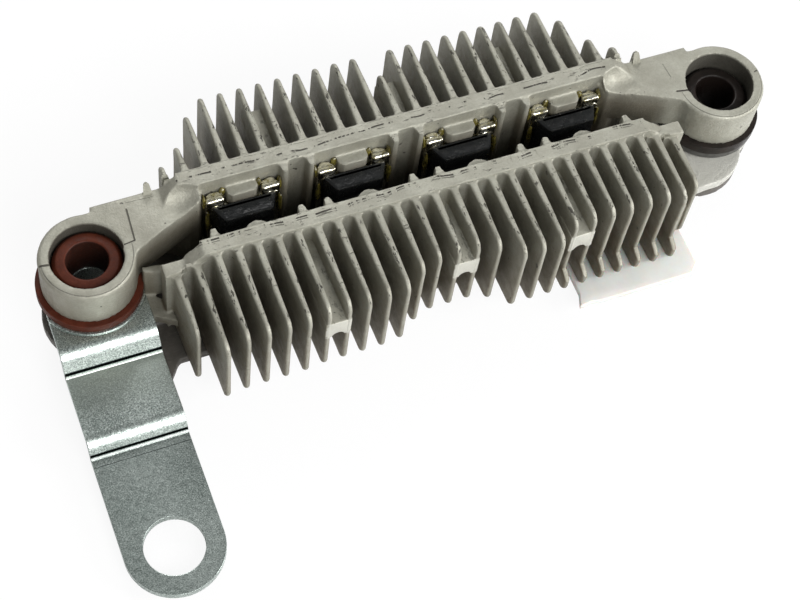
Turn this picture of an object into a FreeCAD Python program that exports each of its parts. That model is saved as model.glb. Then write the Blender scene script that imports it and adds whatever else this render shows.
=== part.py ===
import FreeCAD, Part
import math
import os
import Sketcher

# Bridge rectifier of a car alternator: two finned die-cast heat sinks that face each other,
# four resin diode modules between them, insulating bushes in the two mounting bosses, a steel
# strap terminal and a terminal carrier underneath.
# Frame: origin midway between the two boss axes on the seat plane under the bosses,
# +X along the row of fins, +Y towards the back heat sink, +Z up. Millimetres.

doc = FreeCAD.newDocument("BridgeRectifier")
sheet = doc.addObject("Spreadsheet::Sheet", "Sizes")

sizes = [
    ("overlap", 1.0, "how far a joined form runs into its neighbour"),
    # mounting bosses and arms of the back heat sink
    ("hole_spacing", 106.0, "between the two boss axes"),
    ("boss_dia", 14.7, "outside of a boss"),
    ("boss_bore", 11.2, "bore that takes the bush"),
    ("boss_rise", 7.4, "boss and arm above the seat plane"),
    ("boss_edge", 0.4, "chamfer of the boss rim"),
    ("arm_back", 8.0, "back edge of the arm"),
    ("arm_step", 0.9, "step of the back edge beside the boss"),
    ("arm_step_in", 2.7, "that step from the boss axis"),
    ("arm_front_outer", 1.7, "front edge of the arm at the boss"),
    ("arm_front_outer_in", 6.8, "that corner from the boss axis"),
    ("arm_front_inner", 3.1, "front edge of the arm near the pocket"),
    ("arm_front_inner_in", 17.3, "that corner from the boss axis"),
    ("arm_end", 33.4, "inner end of the arm, which closes the outer pocket"),
    ("arm_end_round", 2.1, "rounded corner at that end"),
    ("gusset_in", 13.5, "outer end of the gusset under the arm, from the boss axis"),
    # walls and rails
    ("rail_past_rib", 1.825, "rail beyond the outermost rib of the pockets"),
    ("rail_rise", 2.25, "rail above the arm"),
    ("sink_drop", 8.2, "walls below the seat plane"),
    ("back_inner", 5.5, "inner face of the back wall"),
    ("back_outer", 8.5, "outer face of the back wall"),
    ("front_inner", 3.9, "inner face of the front wall"),
    ("front_outer", 6.6, "outer face of the front wall"),
    ("end_gap", 2.55, "between the front sink's low ends and the bosses"),
    ("end_inner", 4.9, "inner face of the low ends"),
    ("end_slant", 0.7, "slant of a low end's outer face"),
    ("ramp_run", 2.8, "length of the ramp at a rail's end"),
    ("ramp_inset", 0.6, "front ramp behind the wall's inner face"),
    ("scoop_radius", 2.7, "thumb-shaped hollow at a rail's end"),
    ("scoop_in", 0.5, "centre of that hollow inside the rail's end"),
    ("scoop_front", 1.9, "centre of that hollow in front of the wall"),
    # fins
    ("fin_pitch", 3.175, "fin to fin"),
    ("fin_root", 1.3, "fin thickness at the root"),
    ("fin_edge", 0.8, "fin thickness at the edge"),
    ("fin_step", 0.35, "fin top below the rail top"),
    ("fin_low_top", 8.0, "top of front fins -12 and 12 above the seat"),
    ("fin_end_top", 6.8, "top of front fins -13 and 13 above the seat"),
    ("fin_drop", 7.5, "underside of the front fins below the seat"),
    ("fin_top_round", 2.0, "rounding of a fin's upper corner"),
    ("fin_low_round", 1.3, "rounding of a fin's lower corner"),
    ("slot_corner", 0.5, "corner at the root of a gap"),
    ("back_reach", 21.6, "edge of the long back fins"),
    ("notch_reach", 17.3, "edge of the middle back fin"),
    ("back_reach_b", 18.9, "edge of back fin 10"),
    ("back_reach_c", 13.9, "edge of back fin 11"),
    ("back_reach_d", 11.3, "edge of back fin 12"),
    ("back_reach_e", 8.9, "edge of back fin 13"),
    ("front_a", 17.8, "edge of front fin -13"),
    ("front_b", 22.3, "edge of front fin -12"),
    ("front_c", 21.9, "edge of front fins -11 to -8"),
    ("front_d", 21.5, "edge of front fins -7 to -4"),
    ("front_e", 21.1, "edge of front fins -3 and 3 to 5"),
    ("front_f", 18.8, "edge of front fins -2 and 2"),
    ("front_g", 17.8, "edge of the three middle front fins"),
    ("front_h", 18.9, "edge of front fins 6 to 12"),
    ("front_i", 16.9, "edge of front fin 13"),
    ("finger_reach", 20.8, "edge of the low fingers on front fins 6 to 12"),
    ("finger_top", 4.0, "top of those fingers below the seat"),
    ("pad_deep", 3.0, "web between two fins, along the fin"),
    ("pad_top", 5.4, "top of a web above the seat"),
    ("pad_tall", 4.2, "height of a web"),
    ("arch_dia", 2.1, "arch under a web"),
    # pockets
    ("pocket_pitch", 18.15, "module to module"),
    ("rib_off", 6.95, "rib from the middle of its pocket"),
    ("rib_root", 1.6, "rib width at the wall"),
    ("rib_edge", 0.8, "rib width at its edge"),
    ("rib_reach", 1.6, "rib out of the wall"),
    ("lug_wide", 5.0, "lug over a module, back wall"),
    ("lug_reach", 2.0, "that lug out of the wall"),
    ("lug_round", 0.7, "corner of that lug"),
    ("lug_radius", 2.2, "half-round lug, front wall"),
    ("lug_top", 7.1, "top of the lugs above the seat"),
    ("lug_tall", 2.7, "height of the lugs"),
    # stack under the bosses
    ("bolt_hole", 6.4, "hole through the bushes"),
    ("flange_dia", 16.4, "flange of a bush"),
    ("flange_thick", 1.8, "flange of a bush"),
    ("left_bush_top", 6.0, "top of the left bush above the seat"),
    ("right_bush_top", 4.4, "top of the right bush above the seat"),
    ("spigot_dia", 9.0, "lower spigot of a bush"),
    ("fit_gap", 0.1, "clearance round a fitted piece, on the radius"),
    ("washer_dia", 16.1, "spacer washer"),
    ("strap_thick", 1.4, "strap and spacer washer"),
    ("ear_thick", 1.9, "ears of the front heat sink"),
    ("left_ear_radius", 7.4, "left ear round the boss axis"),
    ("left_neck", 7.9, "neck of the left ear, from the boss axis"),
    ("left_ear_front", 9.4, "front of the left ear at the fins"),
    ("end_pad_thick", 1.9, "end pads of the carrier under the ears"),
    ("end_pad_foot", 12.0, "foot of an end pad"),
    ("foot_arm_back", 4.0, "back edge of the arm that carries that foot"),
    ("left_pad_radius", 8.3, "round end of the carrier under the left boss"),
    ("left_pad_shift", 2.6, "its centre in front of the boss axis"),
    ("right_ear_radius", 8.0, "round front of the right ear"),
    ("right_ear_shift", 4.2, "its centre in front of and inside the boss axis"),
    ("ear_tip_radius", 7.9, "right ear round the boss axis"),
    ("ear_front", 12.4, "front of the right ear at the fins"),
    ("ear_back", 6.0, "back of the right ear"),
    ("ear_inset", 1.3, "ears run in under the low ends"),
    # strap terminal
    ("strap_wide", 15.2, "width of the strap"),
    ("strap_reach", 42.0, "strap hole in front of the boss axis"),
    ("strap_hole", 9.2, "hole in the strap's free end"),
    ("bend_one", 9.6, "first joggle in front of the boss axis"),
    ("drop_one", 3.7, "its drop"),
    ("run_one", 2.1, "its length"),
    ("bend_two", 22.9, "second joggle in front of the boss axis"),
    ("drop_two", 2.7, "its drop"),
    ("run_two", 1.7, "its length"),
    ("bend_radius", 0.9, "outside of the bends"),
    # diode modules
    ("module_back_wide", 10.4, "resin body at the back"),
    ("module_front_wide", 7.7, "resin body at the front"),
    ("module_top", 5.4, "top of the resin body above the seat"),
    ("module_bottom", 5.6, "underside of the body below the seat"),
    ("module_back", 3.4, "back of the body"),
    ("module_edge", 0.5, "front edge of the high part"),
    ("module_low_top", 2.4, "top of the low front part above the seat"),
    ("module_front", 2.7, "front of the body"),
    ("plate_wide", 12.0, "copper plates of a module"),
    ("plate_top", 4.1, "top of the back plate above the seat"),
    ("front_plate_top", 2.2, "top of the front plate above the seat"),
    ("plate_bottom", 5.0, "underside of the plates below the seat"),
    ("tab_wide", 3.0, "soldered ear of a back plate"),
    ("tab_top", 6.8, "top of those ears above the seat"),
    ("tab_far", 4.6, "back of those ears"),
    ("lead_wide", 3.0, "middle lead"),
    ("lead_thick", 1.0, "middle lead"),
    # carrier, terminals, rivets and insulating plate
    ("carrier_thick", 2.0, "carrier plate"),
    ("carrier_front", 13.2, "front edge of the carrier"),
    ("carrier_foot", 16.4, "front of the carrier's left foot"),
    ("foot_slant", 2.4, "slanted end of that foot"),
    ("foot_wide", 8.0, "width of that foot"),
    ("terminal_wide", 5.0, "strip terminal"),
    ("terminal_thick", 0.8, "strip terminal"),
    ("terminal_reach", 14.0, "eye of a strip terminal"),
    ("terminal_hole", 2.6, "hole in that eye"),
    ("rivet_dia", 2.0, "rivet shank"),
    ("rivet_head", 4.2, "rivet head"),
    ("rivet_deep", 4.0, "shank inside the heat sink"),
    ("plate_left", 20.4, "left end of the insulating plate"),
    ("plate_right", 41.9, "right end of the insulating plate"),
    ("plate_front", 24.2, "front edge of the insulating plate"),
    ("plate_back", 14.0, "back edge of the insulating plate"),
    ("plate_corner", 1.4, "cut corner of the insulating plate"),
    ("plate_tab", 0.8, "tab at the plate's front left corner"),
    ("plate_tab_deep", 2.2, "that tab, front to back"),
    ("plate_thick", 1.2, "insulating plate"),
]
for row, (alias, value, note) in enumerate(sizes, start=1):
    sheet.set("A%d" % row, note)
    sheet.set("B%d" % row, str(value))
    sheet.setAlias("B%d" % row, alias)
doc.recompute()

# lengths that follow from others: half the length of the rails, and of the sink's low ends
derived = {
    "@wall_half": "(@pocket_pitch * 1.5 + @rib_off + @rib_root / 2 + @rail_past_rib)",
    "@end_half": "(@hole_spacing / 2 - @boss_dia / 2 - @end_gap)",
}


# helpers
def named(text):
    """Turns '@size' in an expression into the sheet's cell."""
    for word, meaning in derived.items():
        text = text.replace(word, meaning)
    return text.replace("@", "Sizes.")


def number(text):
    """Present value of such an expression."""
    result = sheet.evalExpression(named(text))
    return float(getattr(result, "Value", result))


def body(name):
    return doc.addObject("PartDesign::Body", name)


def origin_item(owner, role):
    return [item for item in owner.Origin.OriginFeatures if item.Role == role][0]


def sketch(owner, name, plane="XY_Plane", lift=None, aside=None):
    """Sketch on one of the body's own planes, lifted along the normal, moved aside along X."""
    flat = owner.newObject("Sketcher::SketchObject", name)
    flat.AttachmentSupport = (origin_item(owner, plane), [""])
    flat.MapMode = "FlatFace"
    if lift:
        flat.setExpression("AttachmentOffset.Base.z", named(lift))
    if aside:
        flat.setExpression("AttachmentOffset.Base.x", named(aside))
    return flat


def fix(flat, kind, geometry, point, text):
    """Ties one coordinate of a point to an expression."""
    if text == "0":
        axis = -2 if kind == "DistanceX" else -1
        flat.addConstraint(Sketcher.Constraint("PointOnObject", geometry, point, axis))
        return
    index = flat.addConstraint(Sketcher.Constraint(kind, -1, 1, geometry, point, number(text)))
    flat.setExpression("Constraints[%d]" % index, named(text))


def outline(flat, corners):
    """Closed outline through corners whose coordinates are expressions of the sizes."""
    points = [FreeCAD.Vector(number(a), number(b), 0) for a, b in corners]
    first = flat.GeometryCount
    count = len(points)
    for i in range(count):
        flat.addGeometry(Part.LineSegment(points[i], points[(i + 1) % count]), False)
    for i in range(count):
        after = first + (i + 1) % count
        flat.addConstraint(Sketcher.Constraint("Coincident", first + i, 2, after, 1))
    for i, (a, b) in enumerate(corners):
        fix(flat, "DistanceX", first + i, 1, a)
        fix(flat, "DistanceY", first + i, 1, b)


def box_outline(flat, x_from, x_to, y_from, y_to):
    outline(flat, [(x_from, y_from), (x_to, y_from), (x_to, y_to), (x_from, y_to)])


def ring(flat, x, y, diameter):
    """Circle with its centre and diameter tied to the sizes."""
    centre = FreeCAD.Vector(number(x), number(y), 0)
    circle = flat.addGeometry(Part.Circle(centre, FreeCAD.Vector(0, 0, 1), number(diameter) / 2), False)
    fix(flat, "DistanceX", circle, 3, x)
    fix(flat, "DistanceY", circle, 3, y)
    index = flat.addConstraint(Sketcher.Constraint("Diameter", circle, number(diameter)))
    flat.setExpression("Constraints[%d]" % index, named(diameter))


def pad(owner, flat, length, both=False, back=False):
    """Adds the sketch's outline, one way or to both sides of its plane."""
    solid = owner.newObject("PartDesign::Pad", flat.Name + "_pad")
    solid.Profile = flat
    solid.setExpression("Length", named(length))
    solid.SideType = "Symmetric" if both else "One side"
    solid.Reversed = back
    solid.Refine = False
    doc.recompute()
    return solid


def cut_through(owner, flat):
    """Cuts the sketch's outline out of everything in front of and behind its plane."""
    hollow = owner.newObject("PartDesign::Pocket", flat.Name + "_cut")
    hollow.Profile = flat
    hollow.Type = "ThroughAll"
    hollow.SideType = "Symmetric"
    hollow.Refine = False
    doc.recompute()
    return hollow


def cut_down(owner, flat, length, up=False):
    hollow = owner.newObject("PartDesign::Pocket", flat.Name + "_cut")
    hollow.Profile = flat
    hollow.setExpression("Length", named(length))
    hollow.Reversed = up
    hollow.Refine = False
    doc.recompute()
    return hollow


def revolve(owner, flat):
    """Full turn about the sketch's own vertical axis."""
    solid = owner.newObject("PartDesign::Revolution", flat.Name + "_turn")
    solid.Profile = flat
    solid.ReferenceAxis = (flat, ["V_Axis"])
    solid.Angle = 360
    solid.Refine = False
    doc.recompute()
    return solid


def mirror(owner, features, name):
    """Repeats features on the other side of the YZ plane."""
    twin = owner.newObject("PartDesign::Mirrored", name)
    twin.Originals = features
    twin.MirrorPlane = (origin_item(owner, "YZ_Plane"), [""])
    twin.Refine = False
    owner.Tip = twin
    doc.recompute()
    return twin


def repeat(owner, features, name, count, length):
    """Row of equal copies along X."""
    row = owner.newObject("PartDesign::LinearPattern", name)
    row.Originals = features
    row.Direction = (origin_item(owner, "X_Axis"), [""])
    row.Occurrences = count
    row.setExpression("Length", named(length))
    row.Refine = False
    owner.Tip = row
    doc.recompute()
    return row


def round_edges(owner, base, radius, wanted, name):
    """Fillet on the edges of the base feature that the test picks."""
    edges = ["Edge%d" % (i + 1) for i, edge in enumerate(base.Shape.Edges) if wanted(edge)]
    rounded = owner.newObject("PartDesign::Fillet", name)
    rounded.Base = (base, edges)
    rounded.setExpression("Radius", named(radius))
    doc.recompute()
    return rounded


def fin_block(owner, name, first, last, root, edge, top, bottom, side):
    """Solid block from fin number first to fin number last; its side view is the fins' profile.

    side is 1 for fins that point to +Y and -1 for fins that point to -Y. The gaps between the
    fins are cut out of the blocks afterwards.
    """
    flat = sketch(owner, name, "YZ_Plane", lift="%d * @fin_pitch - @fin_root / 2" % first)
    near, far = number(root) * side, number(edge) * side
    high, low = number(top), number(bottom)
    upper, lower = number("@fin_top_round"), number("@fin_low_round")
    flat.addGeometry(Part.LineSegment(FreeCAD.Vector(near, high, 0),
                                      FreeCAD.Vector(far - side * upper, high, 0)), False)
    flat.addGeometry(Part.LineSegment(FreeCAD.Vector(far, high - upper, 0),
                                      FreeCAD.Vector(far, low + lower, 0)), False)
    flat.addGeometry(Part.LineSegment(FreeCAD.Vector(far - side * lower, low, 0),
                                      FreeCAD.Vector(near, low, 0)), False)
    flat.addGeometry(Part.LineSegment(FreeCAD.Vector(near, low, 0), FreeCAD.Vector(near, high, 0)), False)
    z_axis = FreeCAD.Vector(0, 0, 1)
    quarter = math.pi / 2
    if side > 0:
        spans = ((0, quarter), (-quarter, 0))
    else:
        spans = ((quarter, math.pi), (math.pi, math.pi + quarter))
    for radius, height, (start, end) in ((upper, high - upper, spans[0]), (lower, low + lower, spans[1])):
        circle = Part.Circle(FreeCAD.Vector(far - side * radius, height, 0), z_axis, radius)
        flat.addGeometry(Part.ArcOfCircle(circle, start, end), False)
    top_start, top_end = (2, 1) if side > 0 else (1, 2)
    add = flat.addConstraint
    add(Sketcher.Constraint("Tangent", 0, 2, 4, top_start))
    add(Sketcher.Constraint("Tangent", 1, 1, 4, top_end))
    add(Sketcher.Constraint("Tangent", 1, 2, 5, top_start))
    add(Sketcher.Constraint("Tangent", 2, 1, 5, top_end))
    add(Sketcher.Constraint("Coincident", 2, 2, 3, 1))
    add(Sketcher.Constraint("Coincident", 3, 2, 0, 1))
    add(Sketcher.Constraint("Horizontal", 0))
    add(Sketcher.Constraint("Vertical", 1))
    add(Sketcher.Constraint("Horizontal", 2))
    add(Sketcher.Constraint("Vertical", 3))
    sign = "" if side > 0 else "-"
    fix(flat, "DistanceY", 0, 1, top)
    fix(flat, "DistanceY", 2, 2, bottom)
    fix(flat, "DistanceX", 1, 1, "%s(%s)" % (sign, edge))
    fix(flat, "DistanceX", 3, 1, "%s(%s)" % (sign, root))
    for arc, radius in ((4, "@fin_top_round"), (5, "@fin_low_round")):
        index = add(Sketcher.Constraint("Radius", arc, number(radius)))
        flat.setExpression("Constraints[%d]" % index, named(radius))
    return pad(owner, flat, "%d * @fin_pitch + @fin_root" % (last - first))


def cut_gaps(owner, name, root, far, side):
    """Cuts the 26 tapering gaps between the 27 fins: narrow at the root, wide at the open side."""
    sign = "" if side > 0 else "-"
    flat = sketch(owner, name)
    middle = "-12.5 * @fin_pitch"
    narrow = "(@fin_pitch - @fin_root) / 2"
    wide = "(@fin_pitch - @fin_edge) / 2"
    outline(flat, [
        ("%s - %s + @slot_corner" % (middle, narrow), "%s(%s)" % (sign, root)),
        ("%s + %s - @slot_corner" % (middle, narrow), "%s(%s)" % (sign, root)),
        ("%s + %s" % (middle, narrow), "%s(%s + @slot_corner)" % (sign, root)),
        ("%s + %s" % (middle, wide), "%s(%s)" % (sign, far)),
        ("%s - %s" % (middle, wide), "%s(%s)" % (sign, far)),
        ("%s - %s" % (middle, narrow), "%s(%s + @slot_corner)" % (sign, root)),
    ])
    return repeat(owner, [cut_through(owner, flat)], name + "_row", 26, "25 * @fin_pitch")


def webs(owner, name, spans, side):
    """Ejector webs between pairs of fins, near their edges, arched below.

    spans holds the number of each web's left fin and the expression of its outer edge.
    """
    sign = "" if side > 0 else "-"
    flat = sketch(owner, name, lift="@pad_top - @pad_tall")
    for first, edge in spans:
        x_from = "%d * @fin_pitch - @fin_edge / 2" % first
        x_to = "%d * @fin_pitch + @fin_edge / 2" % (first + 1)
        near, far = "%s(%s - @pad_deep)" % (sign, edge), "%s(%s)" % (sign, edge)
        box_outline(flat, x_from, x_to, near, far)
    pad(owner, flat, "@pad_tall")
    arch = sketch(owner, name + "_arches", "XZ_Plane", lift="-(%s(@front_b))" % sign)
    for first, edge in spans:
        ring(arch, "%g * @fin_pitch" % (first + 0.5), "@pad_top - @pad_tall", "@arch_dia")
    return cut_down(owner, arch, "@front_b - @front_outer - 2 * @pad_deep", up=side < 0)


rail_top = "@boss_rise + @rail_rise"
fin_top = "@boss_rise + @rail_rise - @fin_step"
axis_x = "@hole_spacing / 2"
strap_top = "-@flange_thick"
ear_top = "-@flange_thick - @strap_thick"
ear_low = "-@flange_thick - @strap_thick - @ear_thick"

# back heat sink: fins, wall, arms, bosses
back = body("back_heat_sink")
flat = sketch(back, "back_wall", lift="-@sink_drop")
box_outline(flat, "-@wall_half", "@wall_half", "@back_inner", "@back_outer")
pad(back, flat, "@sink_drop + " + rail_top)

# fins on the outer face; the middle one is shorter
steps = [(9, "@back_reach"), (10, "@back_reach_b"), (11, "@back_reach_c"), (12, "@back_reach_d"),
         (13, "@back_reach_e")]
for number_of_fin, reach in steps:
    fin_block(back, "back_fins_%d" % number_of_fin, -number_of_fin, number_of_fin,
              "@back_inner + @slot_corner", reach, fin_top, "-@sink_drop", 1)
flat = sketch(back, "middle_notch")
box_outline(flat, "-@fin_root", "@fin_root", "@notch_reach", "@back_reach + @overlap")
cut_through(back, flat)

# the outer fins stand on the arm's back edge, so nothing is left above the arm
flat = sketch(back, "above_arm", lift="@boss_rise")
box_outline(flat, "@wall_half", axis_x + " - @arm_step_in", "@back_inner - @overlap", "@arm_back")
open_end = cut_down(back, flat, "@rail_rise + @overlap", up=True)
flat = sketch(back, "above_arm_gap", lift="@boss_rise")
half_gap = "(@fin_pitch - @fin_root) / 2"
box_outline(flat, "12.5 * @fin_pitch - " + half_gap, "12.5 * @fin_pitch + " + half_gap,
            "@arm_back - @overlap", "@back_outer + @slot_corner")
open_gap = cut_down(back, flat, "@rail_rise + @overlap", up=True)
mirror(back, [open_end, open_gap], "above_arms")

# arm: outline from the wall to the boss, then its mirror image
flat = sketch(back, "arm")
outline(flat, [
    ("@wall_half - @ramp_run", "@arm_back"),
    (axis_x + " - @arm_step_in", "@arm_back"),
    (axis_x + " - @arm_step_in", "@arm_back - @arm_step"),
    (axis_x, "@arm_back - @arm_step"),
    (axis_x, "0"),
    (axis_x + " - @arm_front_outer_in", "-@arm_front_outer"),
    (axis_x + " - @arm_front_inner_in", "@arm_front_inner"),
    ("@arm_end + @arm_end_round / 2", "@back_inner - @arm_end_round"),
    ("@arm_end + @arm_end_round / 6", "@back_inner - @arm_end_round / 2"),
    ("@arm_end", "@back_inner"),
    ("@arm_end", "@back_inner + @overlap"),
    ("@wall_half - @ramp_run", "@back_inner + @overlap"),
])
arm = pad(back, flat, "@boss_rise")

# gusset under the arm, which closes the end of the outer pocket down to the carrier
flat = sketch(back, "gusset", lift="-@sink_drop")
outline(flat, [
    ("@arm_end", "@back_inner + @overlap"),
    ("@arm_end", "@back_inner"),
    ("@arm_end + @arm_end_round / 6", "@back_inner - @arm_end_round / 2"),
    ("@arm_end + @arm_end_round / 2", "@back_inner - @arm_end_round"),
    (axis_x + " - @arm_front_inner_in", "@arm_front_inner"),
    (axis_x + " - @gusset_in", "@back_inner"),
    (axis_x + " - @gusset_in", "@back_inner + @overlap"),
])
gusset = pad(back, flat, "@sink_drop")

# ramp from the arm up to the rail, hollowed by a thumb-shaped scoop
flat = sketch(back, "ramp", "XZ_Plane", lift="-@arm_back")
outline(flat, [
    ("@wall_half - @ramp_run", "@boss_rise"),
    ("@wall_half - @ramp_run", rail_top),
    ("@wall_half", rail_top),
    ("@wall_half + @ramp_run", "@boss_rise"),
])
ramp = pad(back, flat, "@arm_back - @back_inner + @scoop_front")

# boss: a turned outline with a chamfered rim
flat = sketch(back, "boss", "XZ_Plane", aside=axis_x)
outline(flat, [
    ("@boss_bore / 2 - @overlap", "0"),
    ("@boss_dia / 2", "0"),
    ("@boss_dia / 2", "@boss_rise - @boss_edge"),
    ("@boss_dia / 2 - @boss_edge", "@boss_rise"),
    ("@boss_bore / 2 - @overlap", "@boss_rise"),
])
boss = revolve(back, flat)
mirror(back, [arm, gusset, ramp, boss], "arms_and_bosses")

scoop = back.newObject("PartDesign::SubtractiveSphere", "scoop")
scoop.Placement = FreeCAD.Placement(FreeCAD.Vector(), FreeCAD.Rotation(FreeCAD.Vector(0, 1, 0), 90))
scoop.setExpression("Radius", named("@scoop_radius"))
scoop.setExpression("Placement.Base.x", named("@wall_half - @scoop_in"))
scoop.setExpression("Placement.Base.y", named("@back_inner - @scoop_front"))
scoop.setExpression("Placement.Base.z", named("@boss_rise + @scoop_radius"))
doc.recompute()
mirror(back, [scoop], "scoops")

flat = sketch(back, "bore")
ring(flat, axis_x, "0", "@boss_bore")
mirror(back, [cut_through(back, flat)], "bores")

# ribs beside each pocket and a lug over each module
flat = sketch(back, "back_ribs", lift="-@sink_drop")
for place in ("@pocket_pitch / 2 - @rib_off", "@pocket_pitch / 2 + @rib_off",
              "@pocket_pitch * 1.5 - @rib_off"):
    outline(flat, [
        (place + " - @rib_root / 2", "@back_inner"),
        (place + " - @rib_edge / 2", "@back_inner - @rib_reach"),
        (place + " + @rib_edge / 2", "@back_inner - @rib_reach"),
        (place + " + @rib_root / 2", "@back_inner"),
    ])
ribs = pad(back, flat, "@sink_drop + " + fin_top)
flat = sketch(back, "back_lugs", lift="@lug_top - @lug_tall")
for place in ("@pocket_pitch / 2", "@pocket_pitch * 1.5"):
    outline(flat, [
        (place + " - @lug_wide / 2", "@back_inner"),
        (place + " - @lug_wide / 2", "@back_inner - @lug_reach + @lug_round"),
        (place + " - @lug_wide / 2 + @lug_round", "@back_inner - @lug_reach"),
        (place + " + @lug_wide / 2 - @lug_round", "@back_inner - @lug_reach"),
        (place + " + @lug_wide / 2", "@back_inner - @lug_reach + @lug_round"),
        (place + " + @lug_wide / 2", "@back_inner"),
    ])
lugs = pad(back, flat, "@lug_tall")
mirror(back, [ribs, lugs], "back_ribs_and_lugs")

# blind holes for the carrier's rivets
flat = sketch(back, "back_rivet_holes", lift="-@sink_drop")
for place in ("-@pocket_pitch", "@pocket_pitch"):
    ring(flat, place, "(@back_inner + @back_outer) / 2", "@rivet_dia + 2 * @fit_gap")
cut_down(back, flat, "@rivet_deep + @fit_gap", up=True)

# gaps between the fins, and the ejector webs
cut_gaps(back, "back_gaps", "@back_outer", "@back_reach + @overlap", 1)
webs(back, "back_webs", [(-7, "@back_reach - @pad_deep"), (0, "@notch_reach"), (6, "@back_reach - @pad_deep")], 1)

# front heat sink: fins, wall, low ends, ears
front = body("front_heat_sink")
groups = [(-13, -13, "@front_a", "@fin_end_top", "@fin_drop"),
          (-12, -12, "@front_b", "@fin_low_top", "@fin_drop"),
          (-11, -8, "@front_c", fin_top, "@fin_drop"), (-7, -4, "@front_d", fin_top, "@fin_drop"),
          (-3, -3, "@front_e", fin_top, "@fin_drop"), (-2, -2, "@front_f", fin_top, "@fin_drop"),
          (-1, 1, "@front_g", fin_top, "@fin_drop"), (2, 2, "@front_f", fin_top, "@fin_drop"),
          (3, 5, "@front_e", fin_top, "@fin_drop"), (6, 11, "@front_h", fin_top, "@sink_drop"),
          (12, 12, "@front_h", "@fin_low_top", "@sink_drop"),
          (13, 13, "@front_i", "@fin_end_top", "@fin_drop")]
root = "@front_outer - @slot_corner * 2"
flat = sketch(front, "front_wall", lift="-@sink_drop")
box_outline(flat, "-@wall_half", "@wall_half", "-@front_outer", "-@front_inner")
pad(front, flat, "@sink_drop + " + rail_top)

flat = sketch(front, "low_end", lift="-@sink_drop")
outline(flat, [
    ("@wall_half - @overlap", "-@front_inner"),
    ("@wall_half + @ramp_run", "-@end_inner"),
    ("@end_half", "-@end_inner"),
    ("@end_half", "-@front_outer - @end_slant"),
    ("@wall_half - @overlap", "-@front_outer"),
])
low_end = pad(front, flat, "@sink_drop + @boss_rise")
flat = sketch(front, "front_ramp", "XZ_Plane", lift="@front_inner + @ramp_inset")
outline(flat, [
    ("@wall_half - @overlap", "@boss_rise"),
    ("@wall_half - @overlap", rail_top),
    ("@wall_half", rail_top),
    ("@wall_half + @ramp_run", "@boss_rise"),
])
front_ramp = pad(front, flat, "@front_outer - @front_inner - @ramp_inset")
mirror(front, [low_end, front_ramp], "low_ends")

flat = sketch(front, "front_ribs", lift="-@sink_drop")
for place in ("@pocket_pitch / 2 - @rib_off", "@pocket_pitch / 2 + @rib_off",
              "@pocket_pitch * 1.5 - @rib_off", "@pocket_pitch * 1.5 + @rib_off"):
    outline(flat, [
        (place + " - @rib_root / 2", "-@front_inner"),
        (place + " + @rib_root / 2", "-@front_inner"),
        (place + " + @rib_edge / 2", "-@front_inner + @rib_reach"),
        (place + " - @rib_edge / 2", "-@front_inner + @rib_reach"),
    ])
ribs = pad(front, flat, "@sink_drop + " + fin_top)
flat = sketch(front, "front_lugs", lift="@lug_top - @lug_tall")
for place in ("@pocket_pitch / 2", "@pocket_pitch * 1.5"):
    ring(flat, place, "-@front_inner", "@lug_radius * 2")
lugs = pad(front, flat, "@lug_tall")
mirror(front, [ribs, lugs], "front_ribs_and_lugs")

# ears that lie under the bosses
flat = sketch(front, "left_ear_round", lift=ear_low)
ring(flat, "-@hole_spacing / 2", "0", "@left_ear_radius * 2")
pad(front, flat, "@ear_thick")
flat = sketch(front, "left_ear_neck", lift=ear_low)
outline(flat, [
    ("-@hole_spacing / 2", "-@left_ear_radius"),
    ("-@hole_spacing / 2 + @left_neck", "-@left_ear_radius"),
    ("-@end_half + @ear_inset", "-@left_ear_front"),
    ("-@end_half + @ear_inset", "-@end_inner"),
    ("-@end_half", "-@end_inner"),
    ("-@hole_spacing / 2", "@left_ear_radius"),
])
pad(front, flat, "@ear_thick")
flat = sketch(front, "right_ear_round", lift=ear_low)
ring(flat, axis_x + " - @right_ear_shift", "-@right_ear_shift", "@right_ear_radius * 2")
pad(front, flat, "@ear_thick")
flat = sketch(front, "right_ear_tip", lift=ear_low)
ring(flat, axis_x, "0", "@ear_tip_radius * 2")
pad(front, flat, "@ear_thick")
flat = sketch(front, "right_ear_neck", lift=ear_low)
outline(flat, [
    ("@end_half - @ear_inset", "-@ear_front"),
    (axis_x + " - @right_ear_shift", "-@right_ear_shift - @right_ear_radius"),
    (axis_x + " - @right_ear_shift", "@ear_back"),
    ("@end_half", "-@end_inner"),
    ("@end_half - @ear_inset", "-@end_inner"),
])
pad(front, flat, "@ear_thick")
flat = sketch(front, "ear_bores", lift=ear_top)
for place in ("-@hole_spacing / 2", "@hole_spacing / 2"):
    ring(flat, place, "0", "@spigot_dia + 2 * @fit_gap")
cut_through(front, flat)

# fins, fingers and webs on the outer face
for i, (first, last, reach, top, drop) in enumerate(groups):
    fin_block(front, "front_fins_%d" % i, first, last, root, reach, top, "-" + drop, -1)
fin_block(front, "fingers", 6, 12, "@front_h - @fin_low_round - @overlap", "@finger_reach", "-@finger_top", "-@sink_drop", -1)
flat = sketch(front, "front_rivet_holes", lift="-@sink_drop")
for place in ("-@pocket_pitch", "@pocket_pitch"):
    ring(flat, place, "-(@front_inner + @front_outer) / 2", "@rivet_dia + 2 * @fit_gap")
cut_down(front, flat, "@rivet_deep + @fit_gap", up=True)
cut_gaps(front, "front_gaps", "@front_outer", "@front_b + @overlap", -1)
webs(front, "front_webs", [(-7, "@front_d"), (0, "@front_g"), (6, "@front_h")], -1)

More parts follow.
